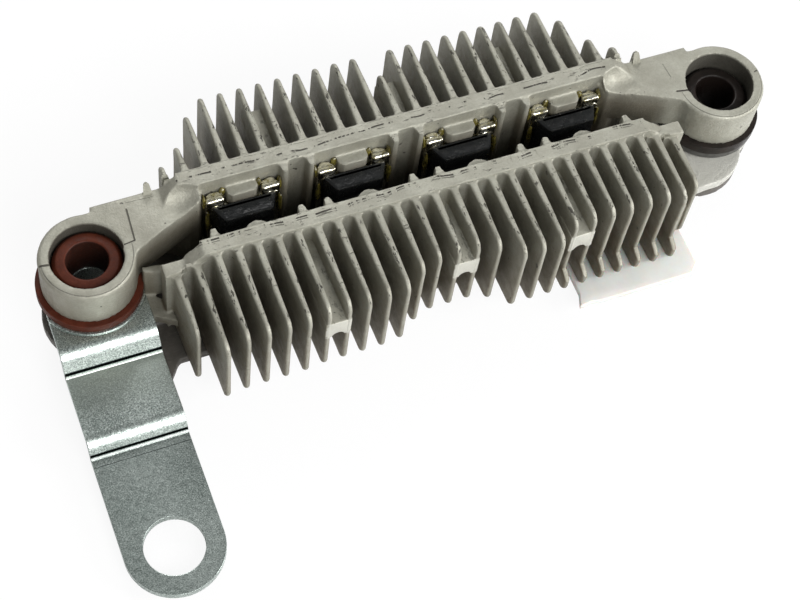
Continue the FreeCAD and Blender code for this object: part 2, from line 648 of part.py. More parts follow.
# bushes and washer
for name, side, top in (("left_bush", "-", "@left_bush_top"), ("right_bush", "", "@right_bush_top")):
    bush = body(name)
    flat = sketch(bush, name + "_outline", "XZ_Plane", aside=side + axis_x)
    outline(flat, [
        ("@bolt_hole / 2", "-@sink_drop"),
        ("@spigot_dia / 2", "-@sink_drop"),
        ("@spigot_dia / 2", "-@flange_thick"),
        ("@flange_dia / 2", "-@flange_thick"),
        ("@flange_dia / 2", "0"),
        ("@boss_bore / 2 - @fit_gap", "0"),
        ("@boss_bore / 2 - @fit_gap", top),
        ("@bolt_hole / 2", top),
    ])
    revolve(bush, flat)

washer = body("spacer_washer")
flat = sketch(washer, "washer_outline", lift=ear_top)
ring(flat, axis_x, "0", "@washer_dia")
ring(flat, axis_x, "0", "@spigot_dia + 2 * @fit_gap")
pad(washer, flat, "@strap_thick")

# strap terminal: joggled side view, then its plan outline
strap = body("strap_terminal")
flat = sketch(strap, "strap_side", "YZ_Plane", lift="-" + axis_x)
end = "@strap_reach + @strap_wide / 2"
level_two = strap_top + " - @drop_one"
level_three = level_two + " - @drop_two"
outline(flat, [
    ("@strap_wide / 2", strap_top),
    ("-@bend_one", strap_top),
    ("-@bend_one - @run_one", level_two),
    ("-@bend_two", level_two),
    ("-@bend_two - @run_two", level_three),
    ("-(%s)" % end, level_three),
    ("-(%s)" % end, level_three + " - @strap_thick"),
    ("-@bend_two - @run_two - @strap_thick / 2", level_three + " - @strap_thick"),
    ("-@bend_two - @strap_thick / 2", level_two + " - @strap_thick"),
    ("-@bend_one - @run_one - @strap_thick / 2", level_two + " - @strap_thick"),
    ("-@bend_one - @strap_thick / 2", strap_top + " - @strap_thick"),
    ("@strap_wide / 2", strap_top + " - @strap_thick"),
])
bar = pad(strap, flat, "@strap_wide", both=True)


def bend_edge(edge):
    """The four outward bends of the joggles, which run along X."""
    if edge.BoundBox.XLength < number("@strap_wide") - 0.1 or edge.BoundBox.YLength > 0.01:
        return False
    place = (edge.BoundBox.YMin, edge.BoundBox.ZMin)
    half = number("@strap_thick") / 2
    bends = [
        (-number("@bend_one"), number(strap_top)),
        (-number("@bend_two"), number(level_two)),
        (-number("@bend_one + @run_one") - half, number(level_two + " - @strap_thick")),
        (-number("@bend_two + @run_two") - half, number(level_three + " - @strap_thick")),
    ]
    return any(abs(place[0] - y) < 0.01 and abs(place[1] - z) < 0.01 for y, z in bends)


round_edges(strap, bar, "@bend_radius", bend_edge, "strap_bends")
flat = sketch(strap, "strap_ends")
box_outline(flat, "-" + axis_x + " - @strap_wide", "-" + axis_x + " + @strap_wide",
            "-(%s) - @overlap" % end, "@strap_wide")
left, right = number("-" + axis_x + " - @strap_wide / 2"), number("-" + axis_x + " + @strap_wide / 2")
far, middle = -number("@strap_reach"), number("-" + axis_x)
first = flat.GeometryCount
flat.addGeometry(Part.LineSegment(FreeCAD.Vector(left, 0, 0), FreeCAD.Vector(left, far, 0)), False)
flat.addGeometry(Part.ArcOfCircle(
    Part.Circle(FreeCAD.Vector(middle, far, 0), FreeCAD.Vector(0, 0, 1), (right - left) / 2),
    math.pi, 2 * math.pi), False)
flat.addGeometry(Part.LineSegment(FreeCAD.Vector(right, far, 0), FreeCAD.Vector(right, 0, 0)), False)
flat.addGeometry(Part.ArcOfCircle(
    Part.Circle(FreeCAD.Vector(middle, 0, 0), FreeCAD.Vector(0, 0, 1), (right - left) / 2),
    0, math.pi), False)
flat.addConstraint(Sketcher.Constraint("Tangent", first, 2, first + 1, 1))
flat.addConstraint(Sketcher.Constraint("Tangent", first + 1, 2, first + 2, 1))
flat.addConstraint(Sketcher.Constraint("Tangent", first + 2, 2, first + 3, 1))
flat.addConstraint(Sketcher.Constraint("Tangent", first + 3, 2, first, 1))
fix(flat, "DistanceX", first + 1, 3, "-" + axis_x)
fix(flat, "DistanceY", first + 1, 3, "-@strap_reach")
fix(flat, "DistanceY", first + 3, 3, "0")
flat.addConstraint(Sketcher.Constraint("Vertical", first))
index = flat.addConstraint(Sketcher.Constraint("Radius", first + 1, (right - left) / 2))
flat.setExpression("Constraints[%d]" % index, named("@strap_wide / 2"))
cut_through(strap, flat)
flat = sketch(strap, "strap_holes")
ring(flat, "-" + axis_x, "0", "@spigot_dia + 2 * @fit_gap")
ring(flat, "-" + axis_x, "-@strap_reach", "@strap_hole")
cut_through(strap, flat)

# diode modules, left to right
places = ["-@pocket_pitch * 1.5", "-@pocket_pitch / 2", "@pocket_pitch / 2", "@pocket_pitch * 1.5"]
for i, place in enumerate(places, start=1):
    resin = body("module_%d_body" % i)
    flat = sketch(resin, "resin_%d" % i, lift="-@module_bottom")
    outline(flat, [
        (place + " - @module_back_wide / 2", "@module_back"),
        (place + " - @module_front_wide / 2", "@module_edge"),
        (place + " + @module_front_wide / 2", "@module_edge"),
        (place + " + @module_back_wide / 2", "@module_back"),
    ])
    pad(resin, flat, "@module_bottom + @module_top")
    flat = sketch(resin, "resin_low_%d" % i, lift="-@module_bottom")
    box_outline(flat, place + " - @module_front_wide / 2", place + " + @module_front_wide / 2",
                "-@module_front", "@module_edge")
    pad(resin, flat, "@module_bottom + @module_low_top")

    plate = body("module_%d_back_plate" % i)
    flat = sketch(plate, "back_plate_%d" % i, lift="-@plate_bottom")
    box_outline(flat, place + " - @plate_wide / 2", place + " + @plate_wide / 2",
                "@module_back", "@back_inner")
    pad(plate, flat, "@plate_bottom + @plate_top")
    flat = sketch(plate, "back_tabs_%d" % i, lift="@plate_top")
    box_outline(flat, place + " - @plate_wide / 2", place + " - @plate_wide / 2 + @tab_wide",
                "@module_back", "@tab_far")
    box_outline(flat, place + " + @plate_wide / 2 - @tab_wide", place + " + @plate_wide / 2",
                "@module_back", "@tab_far")
    pad(plate, flat, "@tab_top - @plate_top")

    plate = body("module_%d_front_plate" % i)
    flat = sketch(plate, "front_plate_%d" % i, lift="-@plate_bottom")
    box_outline(flat, place + " - @plate_wide / 2", place + " + @plate_wide / 2",
                "-@front_inner", "-@module_front")
    pad(plate, flat, "@plate_bottom + @front_plate_top")

    lead = body("module_%d_lead" % i)
    flat = sketch(lead, "lead_%d" % i, lift="-@sink_drop - @carrier_thick")
    box_outline(flat, place + " - @lead_wide / 2", place + " + @lead_wide / 2",
                "-@lead_thick / 2", "@lead_thick / 2")
    pad(lead, flat, "@sink_drop + @carrier_thick - @module_bottom")

    strip = body("ac_terminal_%d" % i)
    flat = sketch(strip, "strip_%d" % i, lift="-@sink_drop - @carrier_thick - @terminal_thick")
    box_outline(flat, place + " - @terminal_wide / 2", place + " + @terminal_wide / 2",
                "-@terminal_wide / 2", "@terminal_reach")
    pad(strip, flat, "@terminal_thick")
    flat = sketch(strip, "strip_eye_%d" % i, lift="-@sink_drop - @carrier_thick - @terminal_thick")
    ring(flat, place, "@terminal_reach", "@terminal_wide")
    pad(strip, flat, "@terminal_thick")
    flat = sketch(strip, "strip_hole_%d" % i)
    ring(flat, place, "@terminal_reach", "@terminal_hole")
    cut_through(strip, flat)

# terminal carrier with end pads under the ears
carrier = body("carrier")
flat = sketch(carrier, "carrier_plate", lift="-@sink_drop - @carrier_thick")
outline(flat, [
    ("-@end_half", "-@carrier_front"),
    ("@end_half", "-@carrier_front"),
    ("@end_half", "@back_outer"),
    ("-@end_half", "@back_outer"),
])
pad(carrier, flat, "@carrier_thick")
flat = sketch(carrier, "carrier_foot_outline", lift="-@sink_drop - @carrier_thick")
outline(flat, [
    ("-@end_half", "-@carrier_front"),
    ("-@end_half - @foot_slant", "-@carrier_foot"),
    ("-@end_half - @foot_wide", "-@carrier_foot"),
    ("-@end_half - @foot_wide", "0"),
    ("-@end_half", "0"),
])
pad(carrier, flat, "@carrier_thick")
pad_low = ear_low + " - @end_pad_thick"
pads = [("left_pad", "-" + axis_x, "-@left_pad_shift", "@left_pad_radius"),
        ("right_pad", axis_x + " - @right_ear_shift", "-@right_ear_shift", "@right_ear_radius"),
        ("right_tip_pad", axis_x, "0", "@ear_tip_radius")]
for name, x, y, radius in pads:
    flat = sketch(carrier, name, lift=pad_low)
    ring(flat, x, y, "(%s) * 2" % radius)
    pad(carrier, flat, "@end_pad_thick")
for name, x, side in (("left_pad_foot", "-" + axis_x, "-"), ("right_pad_foot", axis_x, "")):
    flat = sketch(carrier, name, lift="-@sink_drop - @carrier_thick")
    ring(flat, x, "0", "@end_pad_foot")
    pad(carrier, flat, "@sink_drop + @carrier_thick + " + pad_low)
    flat = sketch(carrier, name + "_arm", lift="-@sink_drop - @carrier_thick")
    near, far = "%s(@end_half)" % side, side + axis_x
    low, high = (far, near) if side else (near, far)
    box_outline(flat, low, high, "-@end_pad_foot / 2", "@foot_arm_back")
    pad(carrier, flat, "@sink_drop + @carrier_thick + " + pad_low)
flat = sketch(carrier, "room_for_low_end", lift="-@sink_drop")
box_outline(flat, "0", "@end_half", "-@carrier_front", "@back_outer")
cut_down(carrier, flat, "@sink_drop", up=True)
flat = sketch(carrier, "carrier_openings")
for place in ("-@hole_spacing / 2", "@hole_spacing / 2"):
    ring(flat, place, "0", "@spigot_dia + 2 * @fit_gap")
for place in places:
    box_outline(flat, place + " - @lead_wide / 2 - @fit_gap", place + " + @lead_wide / 2 + @fit_gap",
                "-@lead_thick / 2 - @fit_gap", "@lead_thick / 2 + @fit_gap")
rivet_places = []
for x in ("-@pocket_pitch", "@pocket_pitch"):
    for y in ("(@back_inner + @back_outer) / 2", "-(@front_inner + @front_outer) / 2"):
        rivet_places.append((x, y))
for x, y in rivet_places:
    ring(flat, x, y, "@rivet_dia + 2 * @fit_gap")
cut_through(carrier, flat)

for i, (x, y) in enumerate(rivet_places, start=1):
    rivet = body("rivet_%d" % i)
    flat = sketch(rivet, "rivet_shank_%d" % i, lift="-@sink_drop - @carrier_thick")
    ring(flat, x, y, "@rivet_dia")
    pad(rivet, flat, "@carrier_thick + @rivet_deep")
    flat = sketch(rivet, "rivet_head_%d" % i, lift="-@sink_drop - @carrier_thick")
    ring(flat, x, y, "@rivet_head")
    pad(rivet, flat, "@terminal_thick", back=True)

# insulating plate under the right-hand front fins
shield = body("insulating_plate")
flat = sketch(shield, "shield_outline", lift="-@sink_drop - @plate_thick")
outline(flat, [
    ("@plate_left + @plate_tab", "-@plate_front + @plate_tab_deep"),
    ("@plate_left", "-@plate_front"),
    ("@plate_right - @plate_corner", "-@plate_front"),
    ("@plate_right", "-@plate_front + @plate_corner"),
    ("@plate_right", "-@plate_back"),
    ("@plate_left + @plate_tab", "-@plate_back"),
])
pad(shield, flat, "@plate_thick")

# check and export
nodes = [item for item in doc.Objects if item.TypeId == "PartDesign::Body"]
for node in nodes:
    node.Tip.Refine = True
doc.recompute()
bad = []
for item in doc.Objects:
    if any(word in str(state) for state in item.State for word in ("Invalid", "Error")):
        bad.append(item.Name)
for node in nodes:
    shape = node.Shape
    if shape.isNull() or not shape.isValid() or len(shape.Solids) != 1:
        bad.append("%s (%d solids)" % (node.Name, len(shape.Solids)))
if bad:
    raise RuntimeError("failed: " + ", ".join(bad))
os.makedirs("parts", exist_ok=True)
for node in nodes:
    node.Shape.exportStep(os.path.join("parts", node.Label + ".step"))
    print(node.Label, round(node.Shape.Volume, 1))
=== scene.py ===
import math
import bmesh
import bpy
from mathutils import Matrix, Vector
from mathutils import noise as rough_field


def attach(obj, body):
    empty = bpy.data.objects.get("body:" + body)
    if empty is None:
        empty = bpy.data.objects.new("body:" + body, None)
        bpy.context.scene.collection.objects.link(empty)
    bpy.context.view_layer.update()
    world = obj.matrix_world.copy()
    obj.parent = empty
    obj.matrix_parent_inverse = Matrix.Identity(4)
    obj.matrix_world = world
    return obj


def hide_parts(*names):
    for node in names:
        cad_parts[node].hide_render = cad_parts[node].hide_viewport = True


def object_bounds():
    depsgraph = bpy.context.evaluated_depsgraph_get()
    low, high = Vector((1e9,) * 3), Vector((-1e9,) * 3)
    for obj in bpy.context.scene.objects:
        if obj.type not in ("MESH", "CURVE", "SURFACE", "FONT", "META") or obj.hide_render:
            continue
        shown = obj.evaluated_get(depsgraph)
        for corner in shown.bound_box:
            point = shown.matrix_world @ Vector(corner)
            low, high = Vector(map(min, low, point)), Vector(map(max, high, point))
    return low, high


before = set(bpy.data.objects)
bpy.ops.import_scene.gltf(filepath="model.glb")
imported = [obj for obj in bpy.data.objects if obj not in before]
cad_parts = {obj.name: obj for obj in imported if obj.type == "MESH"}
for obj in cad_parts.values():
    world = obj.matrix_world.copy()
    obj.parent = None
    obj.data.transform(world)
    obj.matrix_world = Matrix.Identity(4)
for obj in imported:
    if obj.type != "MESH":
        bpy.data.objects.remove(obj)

cad_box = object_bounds()

# Back heat sink: one aluminium die casting with a rail, 27 fins, two arms and the two mounting
# bosses. It is cast, trimmed and left raw, so it is matt and grainy, its edges are rounded by the
# mould, and small cracks and pin holes show along the rail and the fin tops.
MM = 0.001
PITCH = 3.175
AXIS = 53.0
ARM_TOP, RAIL_TOP, FIN_FOOT = 7.4, 9.3, -8.2
# the fins that have an ejector web at their right
WEBS = (-7, 0, 6)


def new_finish(name):
    """A material with its shader, ready for more nodes."""
    finish = bpy.data.materials.new(name)
    finish.use_nodes = True
    return finish, finish.node_tree, finish.node_tree.nodes["Principled BSDF"]


def wire(tree, kind, *sources, **settings):
    """Adds a node, sets its options and feeds its first sockets with numbers or other outputs."""
    made = tree.nodes.new(kind)
    for key, value in settings.items():
        setattr(made, key, value)
    for socket, source in zip(made.inputs, sources):
        if source is None:
            continue
        if isinstance(source, bpy.types.NodeSocket):
            tree.links.new(source, socket)
        else:
            socket.default_value = source
    return made


def reckon(tree, operation, *values):
    """One step of arithmetic on numbers or outputs."""
    return wire(tree, "ShaderNodeMath", *values, operation=operation).outputs[0]


def overlap(tree, first, *others):
    """Where all the masks meet."""
    for other in others:
        first = reckon(tree, "MULTIPLY", first, other)
    return first


def either(tree, first, *others):
    """Where any of the masks is."""
    for other in others:
        first = reckon(tree, "MAXIMUM", first, other)
    return first


def off_from(tree, value, centre):
    """How far a value lies from a centre, to either side."""
    return reckon(tree, "ABSOLUTE", reckon(tree, "SUBTRACT", value, centre))


def where_on_piece(tree):
    """Place on the object in millimetres."""
    coordinates = wire(tree, "ShaderNodeTexCoord").outputs["Object"]
    place = wire(tree, "ShaderNodeVectorMath", coordinates, operation="SCALE")
    place.inputs["Scale"].default_value = 1 / MM
    return place.outputs[0]


def apart(tree, place):
    """The three coordinates of a place or direction."""
    return tuple(wire(tree, "ShaderNodeSeparateXYZ", place).outputs)


def mottle(tree, place, per_mm, detail=3.0, rough=0.55, stretch=None):
    """Even random pattern with so many features to a millimetre."""
    if stretch:
        place = wire(tree, "ShaderNodeVectorMath", place, stretch, operation="MULTIPLY").outputs[0]
    made = wire(tree, "ShaderNodeTexNoise", place)
    made.inputs["Scale"].default_value = per_mm
    made.inputs["Detail"].default_value = detail
    made.inputs["Roughness"].default_value = rough
    return made.outputs["Fac"]


def between(tree, value, low, high, to_low=0.0, to_high=1.0):
    """Carries a value from one range to another and stops at its ends."""
    return wire(tree, "ShaderNodeMapRange", value, low, high, to_low, to_high).outputs[0]


def blend_colours(tree, share, first, second):
    """Mix of two colours; each is a colour or another node's output."""
    made = wire(tree, "ShaderNodeMix", data_type="RGBA")
    for index, source in ((0, share), (6, first), (7, second)):
        if isinstance(source, bpy.types.NodeSocket):
            tree.links.new(source, made.inputs[index])
        else:
            made.inputs[index].default_value = (*source, 1)
    return made.outputs[2]


def paint(tree, shader, colour):
    """Gives the shader its colour."""
    tree.links.new(colour, shader.inputs["Base Color"])


def uneven_gloss(tree, shader, place, per_mm, low, high):
    """Roughness that drifts between two values."""
    patches = between(tree, mottle(tree, place, per_mm, 3), 0.3, 0.7, low, high)
    tree.links.new(patches, shader.inputs["Roughness"])


def relief(tree, shader, height, depth_mm):
    """Feeds a height into the shader's normal."""
    bump = wire(tree, "ShaderNodeBump")
    bump.inputs["Strength"].default_value = 1.0
    bump.inputs["Distance"].default_value = depth_mm * MM
    tree.links.new(height, bump.inputs["Height"])
    tree.links.new(bump.outputs[0], shader.inputs["Normal"])


def near_line(tree, x, y, start, end, width):
    """1 on a line between two points of the plan, 0 off it."""
    flat = wire(tree, "ShaderNodeCombineXYZ", x, y, 0.0).outputs[0]
    run_of_line = Vector((end[0] - start[0], end[1] - start[1], 0))
    along = run_of_line.normalized()
    offset = wire(tree, "ShaderNodeVectorMath", flat, (*start, 0), operation="SUBTRACT").outputs[0]
    run = wire(tree, "ShaderNodeVectorMath", offset, along, operation="DOT_PRODUCT").outputs["Value"]
    run = reckon(tree, "MINIMUM", reckon(tree, "MAXIMUM", run, 0.0), run_of_line.length)
    foot = wire(tree, "ShaderNodeVectorMath", along, operation="SCALE")
    tree.links.new(run, foot.inputs["Scale"])
    gap = wire(tree, "ShaderNodeVectorMath", offset, foot.outputs[0], operation="DISTANCE")
    return between(tree, gap.outputs["Value"], width * 0.5, width, 1.0, 0.0)


def from_axis(tree, x, y):
    """Distance from the axis of the nearer boss."""
    beside = reckon(tree, "SUBTRACT", reckon(tree, "ABSOLUTE", x), AXIS)
    offset = wire(tree, "ShaderNodeCombineXYZ", beside, y, 0.0).outputs[0]
    return wire(tree, "ShaderNodeVectorMath", offset, operation="LENGTH").outputs["Value"]


def make_cast_aluminium():
    finish, tree, shader = new_finish("cast_aluminium")
    place = where_on_piece(tree)
    x, y, z = apart(tree, place)
    facing_x, facing_y, facing_z = apart(tree, wire(tree, "ShaderNodeNewGeometry").outputs["Normal"])
    # raw casting: warm grey, cloudy, finely mottled
    cloud = between(tree, mottle(tree, place, 0.22, 4), 0.35, 0.65)
    colour = blend_colours(tree, cloud, (0.275, 0.271, 0.225), (0.36, 0.357, 0.302))
    fine = between(tree, mottle(tree, place, 2.6, 4, 0.7), 0.3, 0.62, 0.3, 0.0)
    colour = blend_colours(tree, fine, colour, (0.2, 0.185, 0.15))
    # painted shade, darker and browner, deep between the fins, in the pockets and in the bores, where little
    # light reaches
    fin_sides = between(tree, reckon(tree, "ABSOLUTE", facing_x), 0.3, 0.8, 0.3, 1.0)
    patchy = between(tree, mottle(tree, place, 0.5, 3), 0.25, 0.6, 0.6, 1.0)
    gap_shade = overlap(tree, between(tree, z, 9.0, -4.0, 0.16, 0.88), fin_sides, patchy)
    pocket_shade = overlap(tree, between(tree, off_from(tree, y, 0.8), 5.0, 4.3),
                        between(tree, z, 8.2, 4.5, 0.0, 0.6), between(tree, facing_z, 0.5, 0.8, 1.0, 0.15))
    gap_shade = overlap(tree, either(tree, gap_shade, pocket_shade), between(tree, x, 44.0, 42.0))
    colour = blend_colours(tree, gap_shade, colour, (0.118, 0.092, 0.058))
    radius = from_axis(tree, x, y)
    # painted shade on the wall of each boss bore, above its bush
    boss_bore_shade = overlap(tree, between(tree, radius, 5.9, 5.75), between(tree, z, ARM_TOP, 6.9, 0.0, 0.85))
    colour = blend_colours(tree, boss_bore_shade, colour, (0.045, 0.04, 0.032))
    # the ends of the ejector webs are trimmed, bright and ragged
    ragged = between(tree, mottle(tree, place, 0.9, 3, 0.6), 0.3, 0.7, -0.5, 0.5)
    ends = [reckon(tree, "ADD", off_from(tree, x, (first + 0.5) * PITCH), ragged) for first in WEBS]
    trimmed = overlap(tree, either(tree, *(between(tree, end, 2.2, 2.0) for end in ends)),
                      between(tree, facing_y, -0.6, -0.85), between(tree, y, -16.8, -17.2),
                      between(tree, z, 1.0, 1.6, 0.0, 0.65), between(tree, z, 5.9, 5.4))
    colour = blend_colours(tree, trimmed, colour, (0.56, 0.555, 0.5))
    # painted light on the right-hand ear where the washer stack seats, so it shows brighter than the casting
    # around it
    ear_painted_light = overlap(tree, between(tree, x, 44.5, 46.0), between(tree, z, -1.0, -2.5, 0.0, 0.8))
    colour = blend_colours(tree, ear_painted_light, colour, (0.52, 0.515, 0.475))
    # cracks along the back rail and scuffs along the front rail
    upward = between(tree, facing_z, 0.55, 0.85)
    on_rail = overlap(tree, upward, between(tree, z, 8.7, 9.2))
    waver = between(tree, mottle(tree, place, 0.12, 2), 0.3, 0.7, -0.5, 0.5)
    broken = between(tree, mottle(tree, place, 0.55, 3, 0.7, (1, 0.05, 0.05)), 0.5, 0.55)
    cracks = []
    for line_y, width, share in ((7.0, 0.2, 1.0), (-4.68, 0.2, 1.0), (-5.1, 0.12, 0.7), (8.1, 0.07, 0.5)):
        off = off_from(tree, reckon(tree, "ADD", y, waver), line_y)
        cracks.append(overlap(tree, between(tree, off, width * 0.4, width, share, 0.0), broken))
    specks = between(tree, mottle(tree, place, 1.1, 3, 0.65, (0.5, 1.6, 1)), 0.63, 0.67, 0.0, 0.6)
    rail_marks = overlap(tree, either(tree, specks, *cracks), on_rail)
    # pin holes along the tops of the fins
    outside = either(tree, between(tree, y, 9.4, 10.2), between(tree, y, -7.6, -8.4))
    holes = between(tree, mottle(tree, place, 1.3, 3, 0.75, (1, 0.3, 0.5)), 0.575, 0.63, 0.0, 0.9)
    holes = overlap(tree, holes, between(tree, facing_z, 0.25, 0.6), between(tree, z, 4.5, 6.5), outside)
    # parting marks of the mould inserts on the arms and the boss rims
    on_arm = overlap(tree, upward, between(tree, z, 7.0, 7.25))
    seams = []
    for start, end, width, share in (
            ((-45.1, 5.9), (-45.5, 0.3), 0.16, 0.8), ((-45.5, 0.3), (-47.1, 0.1), 0.14, 0.9),
            ((-44.9, 7.0), (-40.6, 6.9), 0.09, 0.35), ((45.4, 5.9), (45.6, 3.2), 0.1, 0.35),
            ((45.4, 0.3), (47.2, 0.0), 0.22, 1.0), ((59.4, 0.0), (60.3, 0.25), 0.14, 0.9),
            ((-60.3, 0.35), (-58.8, 0.15), 0.26, 0.9)):
        seams.append(overlap(tree, near_line(tree, x, y, start, end, width), share, on_arm))
    rim = between(tree, off_from(tree, radius, 6.92), 0.03, 0.1, 0.5, 0.0)
    rim = overlap(tree, rim, between(tree, y, 1.0, -1.0), on_arm)
    pits = between(tree, mottle(tree, place, 0.8, 2, 0.5), 0.735, 0.76, 0.0, 0.7)
    marks = either(tree, rail_marks, holes, *seams, rim, pits)
    paint(tree, shader, blend_colours(tree, marks, colour, (0.028, 0.024, 0.018)))
    shader.inputs["Metallic"].default_value = 0.45
    uneven_gloss(tree, shader, place, 0.9, 0.46, 0.62)
    grain = reckon(tree, "ADD", mottle(tree, place, 3.2, 4, 0.6),
                   reckon(tree, "MULTIPLY", mottle(tree, place, 0.9, 2), 0.8))
    relief(tree, shader, reckon(tree, "SUBTRACT", grain, reckon(tree, "MULTIPLY", marks, 1.6)), 0.085)
    return finish


cast_aluminium = make_cast_aluminium()


def joined(work, part):
    """Adds one closed form to the piece being made."""
    held = bpy.data.meshes.new("held")
    part.to_mesh(held)
    part.free()
    work.from_mesh(held)
    bpy.data.meshes.remove(held)


def slab(work, outline, low, high, edge, along="z", steps=3):
    """Plate, bar or block of that outline with all its edges rounded, upright or along y."""
    part = bmesh.new()
    face = part.faces.new([part.verts.new((a, b, low)) for a, b in outline])
    grown = bmesh.ops.extrude_face_region(part, geom=[face])
    moved = [item for item in grown["geom"] if isinstance(item, bmesh.types.BMVert)]
    bmesh.ops.translate(part, verts=moved, vec=(0, 0, high - low))
    bmesh.ops.recalc_face_normals(part, faces=part.faces)
    if edge:
        sharp = [item for item in part.edges if item.calc_face_angle(0) > math.radians(12)]
        bmesh.ops.bevel(part, geom=sharp, offset=edge, segments=steps, profile=0.5, affect="EDGES",
                        clamp_overlap=True)
    if along == "y":
        for vertex in part.verts:
            vertex.co = vertex.co.xzy
    bmesh.ops.recalc_face_normals(part, faces=part.faces)
    joined(work, part)


def arc(x, y, radius, start, end, steps):
    """Points along an arc, its angles in degrees."""
    turns = [math.radians(start + (end - start) * step / steps) for step in range(steps + 1)]
    return [(x + radius * math.cos(turn), y + radius * math.sin(turn)) for turn in turns]


def loose_object(name, work):
    """The forms made so far, as one object of the scene."""
    data = bpy.data.meshes.new(name)
    work.to_mesh(data)
    work.free()
    item = bpy.data.objects.new(name, data)
    bpy.context.scene.collection.objects.link(item)
    return item


def finished(work, name, finish, slot, *nodes, crease=38):
    """Turns the forms, in millimetres, into one piece that stands for its nodes."""
    for vertex in work.verts:
        vertex.co *= MM
    item = loose_object(name, work)
    item.data.materials.append(finish)
    item.data.shade_smooth()
    item.data.set_sharp_from_angle(angle=math.radians(crease))
    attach(item, "root")
    if nodes:
        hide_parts(*nodes)


def worked_with(item, tool, way):
    """Lets a tool cut, trim or fill an object."""
    step = item.modifiers.new("step", "BOOLEAN")
    step.operation = way
    step.object = tool
    step.solver = "EXACT"


def result_of(item, *tools):
    """The object's form after all that was done to it; it and its tools are cleared away."""
    made = bpy.data.meshes.new_from_object(item.evaluated_get(bpy.context.evaluated_depsgraph_get()))
    work = bmesh.new()
    work.from_mesh(made)
    for spare in (made, item.data, *(tool.data for tool in tools)):
        bpy.data.meshes.remove(spare)
    return work


def softened(node, grain, cut_away=None, added=None, dishes=()):
    """The node's body with its corners and hollows rounded as a mould leaves them.

    grain is the finest form that stays, and cut_away the plan outline of the room that the fins
    fill, which are made one by one. added holds fillets, and dishes the rounded hollows, each a
    centre and three radii.
    """
    work = bmesh.new()
    work.from_mesh(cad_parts[node].data)
    for vertex in work.verts:
        vertex.co /= MM
    bmesh.ops.remove_doubles(work, verts=work.verts, dist=1e-4)
    item = loose_object("body_of_" + node, work)
    forms = []
    if cut_away:
        room = bmesh.new()
        slab(room, cut_away, -12, 14, 0)
        forms.append((room, "DIFFERENCE"))
    if added:
        forms.append((added, "UNION"))
    for centre, radii in dishes:
        ball = bmesh.new()
        bmesh.ops.create_uvsphere(ball, u_segments=40, v_segments=20, radius=1)
        for vertex in ball.verts:
            vertex.co = Vector([centre[i] + vertex.co[i] * radii[i] for i in range(3)])
        forms.append((ball, "DIFFERENCE"))
    tools = []
    for form, way in forms:
        tools.append(loose_object("tool", form))
        worked_with(item, tools[-1], way)
    skin = item.modifiers.new("skin", "REMESH")
    skin.mode = "VOXEL"
    skin.voxel_size = grain
    soft = item.modifiers.new("soft", "SMOOTH")
    soft.factor = 0.5
    soft.iterations = 2
    fewer = item.modifiers.new("fewer", "DECIMATE")
    fewer.ratio = 0.5
    return result_of(item, *tools)


def rounding(radius, gap):
    """How far a rounded corner draws back at that distance from its end."""
    return radius - math.sqrt(max(radius ** 2 - (radius - gap) ** 2, 0)) if gap < radius else 0.0


def fin(work, x, root, reach, low, top, side, finger=None, lean=0.0):
    """One cast fin: thicker at its root and below, round at its edge, flared into the wall.

    root, reach, low and top are its limits, and finger is the height below which its edge reaches
    further out. The short fins at the ends of the rail taper above the arms, with a small flare.
    """
    length = reach - root
    short = length < 5
    flare, sunk = (0.12, 0.04) if short else (0.72, 0.5)
    lip, top_round, low_round, step_out = 0.3, min(2.0, length * 0.62), min(1.3, length * 0.6), 1.9
    levels = [low + step for step in (0, 0.05, 0.16, 0.4, 0.75, 1.3)]
    if finger:
        levels += [finger + step for step in (-0.9, -0.45, -0.1, 0.2, 0.6, 1.3)]
    levels += [low + (top - low) * share for share in (0.45, 0.62, 0.78)]
    levels += [top - step for step in (2.0, 1.5, 1.05, 0.65, 0.36, 0.16, 0.05, 0)]
    part = bmesh.new()
    rings = []
    for level in sorted(levels):
        below, above = top - level, level - low
        share = below / (top - low)
        root_half, edge_half, start, out = 0.6 + 0.12 * share, 0.34 + 0.12 * share, root, reach
        if short:
            over_arm = max(level - ARM_TOP, 0)
            root_half *= 1 - 0.25 * over_arm
            start += over_arm * 0.5
        inset = rounding(lip, below) + rounding(lip, above)
        root_half, edge_half = max(root_half - inset, 0.12), max(edge_half - inset, 0.05)
        if finger:
            out += step_out * min(max((finger + 0.2 - level) / 0.9, 0), 1)
        out -= rounding(top_round, below) + rounding(low_round, above)
        wide = root_half + flare + 0.01 if short else PITCH / 2
        half = [(wide, start - sunk), (wide, start)]
        half += [(root_half + flare - a, start + flare - b) for b, a in arc(0, 0, flare, 0, 90, 4)]
        near, far = start + flare, max(out - edge_half, start + flare)
        for share_out in (0.3, 0.65):
            half.append((root_half + (edge_half - root_half) * share_out, near + (far - near) * share_out))
        half += arc(0, far, edge_half, 0, 90, 4)
        ring = half + [(-a, b) for a, b in reversed(half[:-1])]
        drift = lean * above / (top - low)
        rings.append([part.verts.new((x + a + drift * (b - root) / length, side * b, level))
                      for a, b in ring])
    for lower, upper in zip(rings, rings[1:]):
        for i in range(len(lower)):
            after = (i + 1) % len(lower)
            part.faces.new((lower[i], lower[after], upper[after], upper[i]))
    part.faces.new(rings[0])
    part.faces.new(rings[-1])
    bmesh.ops.recalc_face_normals(part, faces=part.faces)
    joined(work, part)


def web(work, first, edge, side):
    """Web that fills the gap between two fins, arched below, where the mould's ejector pin pushes."""
    foot, top, wall = 1.2, 5.4, 6.4
    left, right = first * PITCH - 0.5, (first + 1) * PITCH + 0.5
    outline = [(left, foot), (left, top), (right, top), (right, foot)]
    outline += arc((left + right) / 2, foot, 0.95, 0, 180, 6)
    low, high = sorted((side * wall, side * (edge - 0.05)))
    slab(work, outline, low, high, 0.22, along="y")


# the field of waves is the same on each run
rough_field.seed_set(11)


